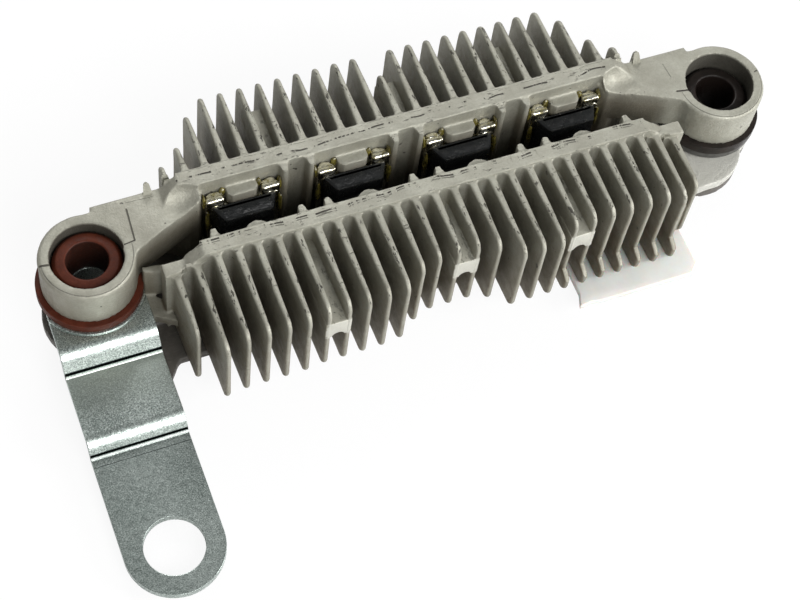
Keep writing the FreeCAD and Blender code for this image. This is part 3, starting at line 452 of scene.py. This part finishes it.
def unevenness(work):
    """The slight waviness of a raw casting, in long waves and short ones."""
    for vertex in work.verts:
        for per_mm, height in ((0.32, 0.05), (1.3, 0.0175)):
            vertex.co += rough_field.noise_vector(vertex.co * per_mm) * height


# concave fillets where the arms run into the bosses
fillets = bmesh.new()
curve = [(47.6, -2.0)] + arc(44.13, -2.95, 2, 18, 66, 8) + [(45.4, -0.2), (47.6, -0.4)]
for outline in (curve, [(-a, b) for a, b in reversed(curve)]):
    slab(fillets, outline, 0.05, ARM_TOP - 0.05, 0)
thumb_hollows = [((side * 37.6, 3.5, 9.9), (4.5, 3.0, 3.0)) for side in (-1, 1)]
back_sink = softened("back_heat_sink", 0.25, [
    (-43, 8.02), (-36.82, 8.02), (-36.82, 8.52), (36.82, 8.52), (36.82, 8.02), (43, 8.02), (43, 30),
    (-43, 30)], fillets, thumb_hollows)
back_reaches = {13: 8.9, 12: 11.3, 11: 13.9, 10: 18.9, 0: 17.3}
for number in range(-13, 14):
    root = {13: 7.3, 12: 8.0}.get(abs(number), 8.5)
    drift = 0.1 * rough_field.noise(Vector((number * 1.7, 3, 0)))
    reach = back_reaches.get(abs(number), 21.6) + drift
    fin(back_sink, number * PITCH, root, reach, FIN_FOOT, RAIL_TOP, 1, lean=drift)
for first, edge in zip(WEBS, (18.6, 17.3, 18.6)):
    web(back_sink, first, edge, 1)
unevenness(back_sink)
finished(back_sink, "back_heat_sink_casting", cast_aluminium, "cast_aluminium", "back_heat_sink")

# Front heat sink: the second die casting of the same alloy. Its 27 fins end in a stepped line, the
# right-hand ones with low fingers, and its flat ears reach under the bosses, where the stack of
# bushes and washers clamps them.
end_wall = bmesh.new()
slab(end_wall, [(-45.4, -3.2), (-41.8, -4.3), (-41.8, -2.6), (-45.4, -2.2)], -3.4, 3.4, 0)
slab(end_wall, [(12 * PITCH, -16.7), (13 * PITCH, -16.5), (13 * PITCH, -7.0), (12 * PITCH, -7.0)],
     -7.4, 0.6, 0)
front_sink = softened("front_heat_sink", 0.25, [
    (-41.97, -7.27), (-35.8, -6.62), (35.8, -6.62), (41.97, -7.27), (41.97, -30), (-41.97, -30)], end_wall)
front_reaches = {-13: 17.8, -12: 22.3, -3: 21.1, -2: 18.8, 2: 18.8, 3: 21.1, 4: 21.1, 5: 21.1, 13: 16.9}
for number in range(-13, 14):
    if number in front_reaches:
        reach = front_reaches[number]
    elif number < -7:
        reach = 21.9
    elif number < -3:
        reach = 21.5
    else:
        reach = 17.8 if number < 2 else 18.9
    fingered = 6 <= number <= 12
    top = {13: 6.8, 12: 8.0}.get(abs(number), RAIL_TOP)
    root = 6.6 + max(abs(number) * PITCH - 35.8, 0) * 0.095
    drift = 0.1 * rough_field.noise(Vector((number * 1.7, 9, 0)))
    fin(front_sink, number * PITCH, root, reach + drift, FIN_FOOT if fingered else -7.5, top, -1,
        finger=-4.4 if fingered else None, lean=drift)
for first, edge in zip(WEBS, (21.5, 17.8, 18.9)):
    web(front_sink, first, edge, -1)
unevenness(front_sink)
finished(front_sink, "front_heat_sink_casting", cast_aluminium, "cast_aluminium", "front_heat_sink")

# Insulating bushes: phenolic mouldings, red-brown at the left and black at the right. Each is pressed
# into its boss from below, and its flange keeps the boss off the strap or the washer.
BORE, FLANGE, FLANGE_FOOT, SPIGOT_END = 3.2, 8.2, -1.8, -8.2


def turned(work, profile, x, y, edge, count=96, span=(0, 360)):
    """Piece turned about a vertical axis from a closed profile, with rounded corners."""
    corners = [Vector(corner) for corner in profile]
    smooth = []
    for i, corner in enumerate(corners):
        before, after = corners[i - 1] - corner, corners[(i + 1) % len(corners)] - corner
        cut = min(edge, before.length * 0.45, after.length * 0.45)
        start, end = corner + before.normalized() * cut, corner + after.normalized() * cut
        for step in range(5):
            t = step / 4
            smooth.append(start * (1 - t) ** 2 + corner * 2 * t * (1 - t) + end * t ** 2)
    part = bmesh.new()
    rings = []
    whole = span[1] - span[0] == 360
    for step in range(count if whole else count + 1):
        turn = math.radians(span[0] + (span[1] - span[0]) * step / count)
        rings.append([part.verts.new((x + r * math.cos(turn), y + r * math.sin(turn), z)) for r, z in smooth])
    if not whole:
        part.faces.new(rings[0])
        part.faces.new(rings[-1])
    for step, ring in enumerate(rings if whole else rings[:-1]):
        beside = rings[(step + 1) % count] if whole else rings[step + 1]
        for i in range(len(ring)):
            after = (i + 1) % len(ring)
            part.faces.new((ring[i], beside[i], beside[after], ring[after]))
    bmesh.ops.recalc_face_normals(part, faces=part.faces)
    joined(work, part)


def cloudy(tree, place, per_mm, dark, light):
    """Colour that drifts between two tones."""
    return blend_colours(tree, between(tree, mottle(tree, place, per_mm, 4, 0.6), 0.3, 0.7), dark, light)


def make_phenolic(name, dark, light, gloss):
    """Moulded thermoset: cloudy, with paler specks of filler and painted shade in its bore."""
    finish, tree, shader = new_finish(name)
    place = where_on_piece(tree)
    x, y = apart(tree, place)[:2]
    # painted shade: the wall of the bore is near black
    bush_bore_shade = between(tree, from_axis(tree, x, y), 3.32, 3.24, 0.0, 0.75)
    colour = blend_colours(tree, bush_bore_shade, cloudy(tree, place, 0.6, dark, light), (0.008, 0.005, 0.004))
    specks = between(tree, mottle(tree, place, 3.0, 2, 0.6), 0.62, 0.7, 0.0, 0.3)
    paint(tree, shader, blend_colours(tree, specks, colour, tuple(value * 1.7 for value in light)))
    shader.inputs["Specular IOR Level"].default_value = 0.16
    uneven_gloss(tree, shader, place, 1.2, gloss, gloss + 0.2)
    relief(tree, shader, mottle(tree, place, 2.4, 4, 0.65), 0.05)
    return finish


red_phenolic = make_phenolic("red_phenolic", (0.045, 0.0095, 0.004), (0.08, 0.018, 0.008), 0.42)
black_phenolic = make_phenolic("black_phenolic", (0.008, 0.007, 0.006), (0.018, 0.013, 0.011), 0.3)
for name, side, top, finish, slot in (("left_bush", -1, 6.0, red_phenolic, "red_phenolic"),
                                      ("right_bush", 1, 4.4, black_phenolic, "black_phenolic")):
    bush = bmesh.new()
    turned(bush, [(BORE, SPIGOT_END), (4.5, SPIGOT_END), (4.5, FLANGE_FOOT), (FLANGE, FLANGE_FOOT),
                  (FLANGE, 0), (5.5, 0), (5.5, top - 1.5), (5.3, top - 0.75), (4.75, top - 0.15),
                  (3.45, top), (BORE, top - 0.2)], side * AXIS, 0, 0.15)
    finished(bush, name + "_moulding", finish, slot, name, crease=60)


# Sleeve: short zinc-plated steel tube at the lower end of the left bush, which takes the bolt's load.
# It has the strap's own plating: bluish and grainy, with painted glints, and a painted sheen on the strap
# below its first joggle.
def make_zinc_steel():
    finish, tree, shader = new_finish("zinc_steel")
    place = where_on_piece(tree)
    y = apart(tree, place)[1]
    cloud = between(tree, mottle(tree, place, 0.11, 3, 0.5), 0.35, 0.62)
    colour = blend_colours(tree, cloud, (0.33, 0.38, 0.355), (0.49, 0.545, 0.515))
    # grain of the plating, with painted glints: bright specks and dark ones
    grain_and_glints = mottle(tree, place, 4.5, 2, 0.9)
    colour = blend_colours(tree, between(tree, grain_and_glints, 0.5, 0.64, 0.0, 0.75), colour, (0.9, 0.96, 0.92))
    colour = blend_colours(tree, between(tree, grain_and_glints, 0.48, 0.34, 0.0, 0.8), colour, (0.11, 0.13, 0.12))
    # the strap is darker towards its free end, and carries a painted sheen on the flat below its first
    # joggle, brighter towards the bend
    darker_to_free_end = between(tree, y, -24.0, -27.0, 0.0, 0.4)
    colour = blend_colours(tree, darker_to_free_end, colour, (0.21, 0.245, 0.23))
    painted_bend_sheen = overlap(tree, between(tree, y, -20.5, -12.6, 0.0, 0.6), between(tree, y, -12.2, -12.4))
    colour = blend_colours(tree, painted_bend_sheen, colour, (0.66, 0.73, 0.65))
    # painted shade and highlight at the foot of each joggle: a dark line in the inner crease, with a bright
    # line beside it
    for foot, half, crease_shade_and_highlight in ((-12.08, 0.14, (0.002, 0.003, 0.003)), (-12.42, 0.06, (0.95, 0.97, 0.95)),
                             (-24.92, 0.13, (0.002, 0.003, 0.003)), (-25.2, 0.07, (0.95, 0.97, 0.95)),
                             (-26.6, 0.05, (0.05, 0.06, 0.06))):
        line = between(tree, off_from(tree, y, foot), half * 0.8, half * 1.2, 1.0, 0.0)
        colour = blend_colours(tree, line, colour, crease_shade_and_highlight)
    paint(tree, shader, colour)
    shader.inputs["Metallic"].default_value = 1.0
    uneven_gloss(tree, shader, place, 1.1, 0.3, 0.42)
    relief(tree, shader, mottle(tree, place, 3.6, 3, 0.7), 0.02)
    return finish


zinc_steel = make_zinc_steel()
sleeve = bmesh.new()
turned(sleeve, [(2.95, -8.1), (3.22, -8.1), (3.22, -1.5), (2.95, -1.5)], -AXIS, 0, 0.08)
finished(sleeve, "left_bush_sleeve", zinc_steel, "zinc_steel", crease=60)


# Spacer washer: dark grey plated steel ring that fills the strap's thickness at the right boss. It
# is blanked from sheet, so its upper edge is rolled and its rim is bright.
def make_washer_grey():
    finish, tree, shader = new_finish("washer_grey")
    place = where_on_piece(tree)
    paint(tree, shader, cloudy(tree, place, 0.9, (0.05, 0.05, 0.048), (0.095, 0.093, 0.088)))
    shader.inputs["Metallic"].default_value = 0.5
    uneven_gloss(tree, shader, place, 1.4, 0.35, 0.55)
    relief(tree, shader, mottle(tree, place, 3.0, 3), 0.03)
    return finish


STRAP_FOOT = -3.2
washer = bmesh.new()
turned(washer, [(4.6, STRAP_FOOT), (8.05, STRAP_FOOT), (8.05, FLANGE_FOOT), (4.6, FLANGE_FOOT)],
       AXIS, 0, 0.3)
finished(washer, "spacer_washer_ring", make_washer_grey(), "washer_grey", "spacer_washer", crease=60)

# Strap terminal: 1.4 mm steel strip, blanked, joggled twice down to the cable and zinc plated. Both
# its ends are round, one clamped under the left boss and one free, with a hole for the cable's stud.
STRAP_HALF, STRAP_HOLE, STRAP_END = 7.6, 4.6, -42


def bent_strip(run, bends, half_width, half_thick):
    """Flat strip swept along a side view with rounded bends."""
    points = [Vector(point) for point in run]
    line = [points[0]]
    for before, corner, after, bend in zip(points, points[1:], points[2:], bends):
        back_way, on_way = (before - corner).normalized(), (after - corner).normalized()
        half_angle = back_way.angle(on_way) / 2
        cut = bend / math.tan(half_angle)
        start, end = corner + back_way * cut, corner + on_way * cut
        centre = corner + (back_way + on_way).normalized() * (bend / math.sin(half_angle))
        first = math.atan2(start.y - centre.y, start.x - centre.x)
        sweep = math.remainder(math.atan2(end.y - centre.y, end.x - centre.x) - first, 2 * math.pi)
        for step in range(11):
            turn = first + sweep * step / 10
            line.append(centre + Vector((math.cos(turn), math.sin(turn))) * bend)
    line.append(points[-1])
    part = bmesh.new()
    rings = []
    for i, point in enumerate(line):
        way = line[min(i + 1, len(line) - 1)] - line[max(i - 1, 0)]
        across = Vector((way.y, -way.x)).normalized() * half_thick
        rings.append([part.verts.new((side * half_width, point.x + turn * across.x,
                                      point.y + turn * across.y))
                      for side, turn in ((-1, 1), (1, 1), (1, -1), (-1, -1))])
    for first, second in zip(rings, rings[1:]):
        for i in range(4):
            part.faces.new((first[i], first[(i + 1) % 4], second[(i + 1) % 4], second[i]))
    part.faces.new(rings[0])
    part.faces.new(rings[-1])
    bmesh.ops.recalc_face_normals(part, faces=part.faces)
    return part


strip = bent_strip([(9, -2.5), (-9.95, -2.5), (-12.05, -6.2), (-23.25, -6.2), (-24.95, -8.9), (-52, -8.9)],
                   (1.9, 0.8, 1.9, 0.8), 9.5, 0.7)
blank = bmesh.new()
slab(blank, arc(0, 0, STRAP_HALF, 0, 180, 32) + arc(0, STRAP_END, STRAP_HALF, 180, 360, 32), -14, 4, 0)
punch = bmesh.new()
for centre in (0, STRAP_END):
    slab(punch, arc(0, centre, STRAP_HOLE, 0, 360, 80)[:-1], -16, 6, 0)
strap_form, blank_form, punch_form = (loose_object(name, work) for name, work in
                                      (("strip", strip), ("blank", blank), ("punch", punch)))
worked_with(strap_form, blank_form, "INTERSECT")
worked_with(strap_form, punch_form, "DIFFERENCE")
rolled = strap_form.modifiers.new("rolled", "BEVEL")
rolled.limit_method = "ANGLE"
rolled.angle_limit = math.radians(50)
rolled.width = 0.28
rolled.segments = 3
strap = result_of(strap_form, blank_form, punch_form)
bmesh.ops.translate(strap, verts=strap.verts, vec=(-AXIS, 0, 0))
# low collar that the press leaves round the boss, just outside the bush's flange
turned(strap, [(8.15, -2.0), (8.75, -2.0), (8.65, -1.5), (8.15, -1.45)], -AXIS, 0, 0.1, 60, (209, 331))
finished(strap, "strap_terminal_steel", zinc_steel, "zinc_steel", "strap_terminal", crease=12)

# Diode modules: four black resin blocks, each between two tinned copper plates that are soldered to
# the heat sinks. The back plates end in two ears, wet with solder and amber flux, and a middle lead
# goes down through the carrier.
MODULES = (-27.225, -9.075, 9.075, 27.225)
BODY_FOOT, CARRIER_FOOT = -5.6, -10.2


def make_resin():
    finish, tree, shader = new_finish("resin")
    place = where_on_piece(tree)
    colour = cloudy(tree, place, 0.5, (0.005, 0.0055, 0.0055), (0.012, 0.013, 0.0135))
    dust = between(tree, mottle(tree, place, 2.2, 3, 0.7), 0.66, 0.74, 0.0, 0.45)
    paint(tree, shader, blend_colours(tree, dust, colour, (0.2, 0.19, 0.16)))
    uneven_gloss(tree, shader, place, 0.9, 0.22, 0.4)
    shader.inputs["Specular IOR Level"].default_value = 0.3
    relief(tree, shader, mottle(tree, place, 0.8, 3, 0.5), 0.16)
    return finish


def make_tinned_copper():
    finish, tree, shader = new_finish("tinned_copper")
    place = where_on_piece(tree)
    colour = cloudy(tree, place, 0.8, (0.50, 0.47, 0.36), (0.78, 0.76, 0.66))
    amber = between(tree, mottle(tree, place, 0.9, 3, 0.6), 0.52, 0.64, 0.0, 0.7)
    paint(tree, shader, blend_colours(tree, amber, colour, (0.26, 0.22, 0.06)))
    shader.inputs["Metallic"].default_value = 1.0
    uneven_gloss(tree, shader, place, 1.0, 0.1, 0.28)
    relief(tree, shader, mottle(tree, place, 1.0, 3, 0.6), 0.14)
    return finish


def make_flux():
    finish, tree, shader = new_finish("solder_flux")
    place = where_on_piece(tree)
    cloud = between(tree, mottle(tree, place, 0.9, 3), 0.3, 0.7)
    paint(tree, shader, blend_colours(tree, cloud, (0.035, 0.028, 0.006), (0.16, 0.135, 0.03)))
    shader.inputs["Roughness"].default_value = 0.12
    shader.inputs["Coat Weight"].default_value = 0.6
    relief(tree, shader, mottle(tree, place, 1.6, 3), 0.12)
    return finish


resin, tinned_copper, solder_flux = make_resin(), make_tinned_copper(), make_flux()


def drop(work, centre, radii, seed):
    """Frozen drop: a lumpy rounded blob."""
    part = bmesh.new()
    bmesh.ops.create_icosphere(part, subdivisions=3, radius=1)
    for vertex in part.verts:
        swell = 1 + 0.28 * rough_field.noise(vertex.co * 1.4 + Vector((seed, seed * 0.7, 0)))
        vertex.co = Vector([centre[i] + vertex.co[i] * radii[i] * swell for i in range(3)])
    joined(work, part)


def block(work, x, half, front, back, low, high, edge, steps=3):
    """Straight block across the part, as wide to the left as to the right."""
    slab(work, [(x - half, front), (x + half, front), (x + half, back), (x - half, back)],
         low, high, edge, steps=steps)


for index, x in enumerate(MODULES, start=1):
    name = "module_%d" % index
    body = bmesh.new()
    slab(body, [(x - 5.2, 3.4), (x - 3.85, 0.5), (x + 3.85, 0.5), (x + 5.2, 3.4)], BODY_FOOT, 5.4, 0.4)
    block(body, x, 3.85, -2.7, 1.2, BODY_FOOT, 2.4, 0.4)
    slab(body, [(x - 4.6, 3.35), (x - 4.2, 2.5), (x + 4.2, 2.5), (x + 4.6, 3.35)], 5.1, 5.4, 0.12)
    finished(body, name + "_resin", resin, "resin", name + "_body", crease=14)
    plate = bmesh.new()
    block(plate, x, 6, 3.4, 5.48, -5.0, 4.1, 0.3)
    for side in (-1, 1):
        block(plate, x + side * 4.5, 1.5, 3.4, 4.6, 3.5, 6.75, 0.5, steps=5)
        drop(plate, (x + side * 4.5, 3.6, 4.6), (1.4, 0.4, 1.1), index * 3 + side)
        drop(plate, (x + side * 4.4, 4.7, 6.2), (1.3, 0.75, 0.5), index * 5 + side)
    finished(plate, name + "_back_copper", tinned_copper, "tinned_copper", name + "_back_plate")
    wet = bmesh.new()
    for side in (-1, 1):
        drop(wet, (x + side * 6.15, 4.7, 5.6), (0.35, 0.8, 1.5), index * 7 + side)
        drop(wet, (x + side * 2.9, 5.2, 6.2), (0.5, 0.45, 1.0), index * 11 + side)
        drop(wet, (x + side * 5.9, 3.2, 1.6), (0.4, 0.4, 2.6), index * 13 + side)
    finished(wet, name + "_flux", solder_flux, "tinned_copper")
    plate = bmesh.new()
    block(plate, x, 6, -3.88, -2.7, -5.0, 2.2, 0.3)
    finished(plate, name + "_front_copper", tinned_copper, "tinned_copper", name + "_front_plate")
    lead = bmesh.new()
    block(lead, x, 1.5, -0.5, 0.5, CARRIER_FOOT, BODY_FOOT, 0.15)
    finished(lead, name + "_middle_lead", tinned_copper, "tinned_copper", name + "_lead")


# Terminal carrier: a moulding of glass-filled plastic, dark and warm grey, that ties both heat sinks
# together from below. Its end pads lie under the ears, and four rivets hold its plate.
def make_carrier_plastic():
    finish, tree, shader = new_finish("carrier_plastic")
    place = where_on_piece(tree)
    colour = cloudy(tree, place, 0.4, (0.05, 0.045, 0.038), (0.085, 0.077, 0.066))
    fibres = between(tree, mottle(tree, place, 1.6, 3, 0.7, (0.4, 1.6, 1)), 0.56, 0.68, 0.0, 0.4)
    paint(tree, shader, blend_colours(tree, fibres, colour, (0.14, 0.128, 0.11)))
    uneven_gloss(tree, shader, place, 1.0, 0.4, 0.6)
    relief(tree, shader, mottle(tree, place, 2.2, 3), 0.05)
    return finish


carrier = softened("carrier", 0.4)
finished(carrier, "carrier_moulding", make_carrier_plastic(), "carrier_plastic", "carrier")

# Alternating-current terminals: tinned copper strips, one under each module, punched with a small
# eye that takes the stator wire. Each is soldered to its module's lead below the carrier.
PART_FOOT = -11.0
for index, x in enumerate(MODULES, start=1):
    strip = bmesh.new()
    edge, eye = arc(x, 14.0, 2.5, 0, 90, 12), arc(x, 14.0, 1.3, 450, 270, 12)
    right = [(x, -2.5), (x + 2.5, -2.5)] + edge + eye
    slab(strip, right, PART_FOOT, CARRIER_FOOT, 0.12, steps=2)
    slab(strip, [(2 * x - a, b) for a, b in reversed(right)], PART_FOOT, CARRIER_FOOT, 0.12, steps=2)
    finished(strip, "ac_terminal_%d_strip" % index, tinned_copper, "tinned_copper", "ac_terminal_%d" % index)


# Rivets: four small steel rivets, domed below, pressed into blind holes of the castings from the
# carrier's side. They are bright and a little scratched.
def make_rivet_steel():
    finish, tree, shader = new_finish("rivet_steel")
    place = where_on_piece(tree)
    paint(tree, shader, cloudy(tree, place, 1.0, (0.36, 0.36, 0.35), (0.56, 0.56, 0.55)))
    shader.inputs["Metallic"].default_value = 1.0
    uneven_gloss(tree, shader, place, 1.4, 0.28, 0.45)
    relief(tree, shader, mottle(tree, place, 2.6, 3), 0.04)
    return finish


rivet_steel = make_rivet_steel()
for index, (x, y) in enumerate([(x, y) for x in (-18.15, 18.15) for y in (7.0, -5.25)], start=1):
    rivet = bmesh.new()
    turned(rivet, [(0.02, PART_FOOT), (1.2, PART_FOOT), (2.1, -10.55), (2.1, CARRIER_FOOT),
                   (1.0, CARRIER_FOOT), (1.0, -4.2), (0.02, -4.2)], x, y, 0.2, count=40)
    finished(rivet, "rivet_%d_steel" % index, rivet_steel, "rivet_steel", "rivet_%d" % index)


# Insulating plate: clear-natural nylon sheet, die cut, that lies under the right-hand front fins and
# keeps them off the alternator. It is milky and lets some light through.
def make_nylon():
    finish, tree, shader = new_finish("nylon")
    place = where_on_piece(tree)
    cloud = cloudy(tree, place, 0.14, (0.60, 0.61, 0.58), (0.68, 0.69, 0.66))
    paint(tree, shader, cloud)
    shader.inputs["Transmission Weight"].default_value = 0.12
    shader.inputs["Subsurface Weight"].default_value = 0.3
    shader.inputs["Subsurface Scale"].default_value = 0.002
    uneven_gloss(tree, shader, place, 0.8, 0.3, 0.45)
    relief(tree, shader, mottle(tree, place, 0.5, 3), 0.08)
    return finish


plate = bmesh.new()
slab(plate, [(21.2, -22.0), (20.4, -24.2), (22.4, -23.9), (24.0, -24.2), (40.5, -24.2), (41.9, -22.8),
             (41.9, -14.0), (21.2, -14.0)], -9.4, FIN_FOOT, 0.22)
finished(plate, "insulating_plate_nylon", make_nylon(), "nylon", "insulating_plate")

# Table and light: a white sweep that the part lies on, three round soft lamps at the front, at the
# right and behind, and the even white of the studio walls, which is duller at the left.
table = bmesh.new()
low, tile, count = cad_box[0][2] / MM - 0.03, 260, 24
table_grid = [[table.verts.new((a * tile, b * tile, low)) for b in range(-count // 2, count // 2 + 1)]
              for a in range(-count // 2, count // 2 + 1)]
for first, second in zip(table_grid, table_grid[1:]):
    for i in range(count):
        table.faces.new((first[i], second[i], second[i + 1], first[i + 1]))
for vertex in table.verts:
    vertex.co *= MM
table_top = loose_object("table_top", table)
white_table, tree, shader = new_finish("white_table")
shader.inputs["Base Color"].default_value = (0.8, 0.8, 0.8, 1)
shader.inputs["Roughness"].default_value = 0.9
glow = wire(tree, "ShaderNodeEmission", None, 1.0)
seen = wire(tree, "ShaderNodeLightPath").outputs["Is Camera Ray"]
both = wire(tree, "ShaderNodeMixShader", reckon(tree, "MULTIPLY", seen, 0.9), shader.outputs[0],
            glow.outputs[0])
tree.links.new(both.outputs[0], tree.nodes["Material Output"].inputs["Surface"])
table_top.data.materials.append(white_table)

studio = bpy.data.worlds.new("studio")
bpy.context.scene.world = studio
studio.use_nodes = True
tree = studio.node_tree
across, _, upward = apart(tree, wire(tree, "ShaderNodeTexCoord").outputs["Generated"])
sides = blend_colours(tree, between(tree, across, -0.6, 0.6), (0.66, 0.66, 0.66), (1.0, 1.0, 1.0))
walls = blend_colours(tree, between(tree, upward, 0.25, 0.95), sides, (0.32, 0.33, 0.33))
tree.links.new(walls, tree.nodes["Background"].inputs["Color"])
tree.nodes["Background"].inputs["Strength"].default_value = 0.8


def soft_lamp(name, place, size, watts):
    """Round soft lamp that points at the part."""
    lamp = bpy.data.lights.new(name, "AREA")
    lamp.shape = "DISK"
    lamp.size = size
    lamp.energy = watts
    item = bpy.data.objects.new(name, lamp)
    bpy.context.scene.collection.objects.link(item)
    item.location = place
    item.rotation_euler = (-Vector(place)).to_track_quat("-Z", "Y").to_euler()


soft_lamp("front_softbox", (0.05, -0.5, 0.42), 0.4, 3.6)
soft_lamp("right_softbox", (0.5, -0.3, 0.25), 0.3, 3.2)
soft_lamp("back_softbox", (0.1, 0.5, 0.4), 0.3, 2)

# Camera: on the photograph's line of sight, above the strap's end and rolled a little, 28 cm away.
# The lens is long, and its small shift only frames the part as the photograph does.
azimuth, elevation, roll = (math.radians(angle) for angle in (-29.649, 60.506, 10.034))
aim, stand_off = Vector((-11.293, -17.719, 1.671)) * MM, 279.051 * MM
toward = Vector((math.sin(azimuth) * math.cos(elevation), -math.cos(azimuth) * math.cos(elevation),
                 math.sin(elevation)))
right = (-toward).cross(Vector((0, 0, 1))).normalized()
up = right.cross(-toward)
right, up = right * math.cos(roll) + up * math.sin(roll), up * math.cos(roll) - right * math.sin(roll)
camera = bpy.data.objects.new("camera", bpy.data.cameras.new("camera"))
bpy.context.scene.collection.objects.link(camera)
camera.data.lens = 82.32
camera.data.sensor_width = 36
camera.data.shift_x = 0.0160
camera.data.shift_y = -0.0042
camera.data.clip_start = 0.01
stand = aim + toward * stand_off
camera.matrix_world = Matrix(((right.x, up.x, toward.x, stand.x), (right.y, up.y, toward.y, stand.y),
                              (right.z, up.z, toward.z, stand.z), (0, 0, 0, 1)))
bpy.context.scene.camera = camera
bpy.context.scene.view_settings.view_transform = "Standard"
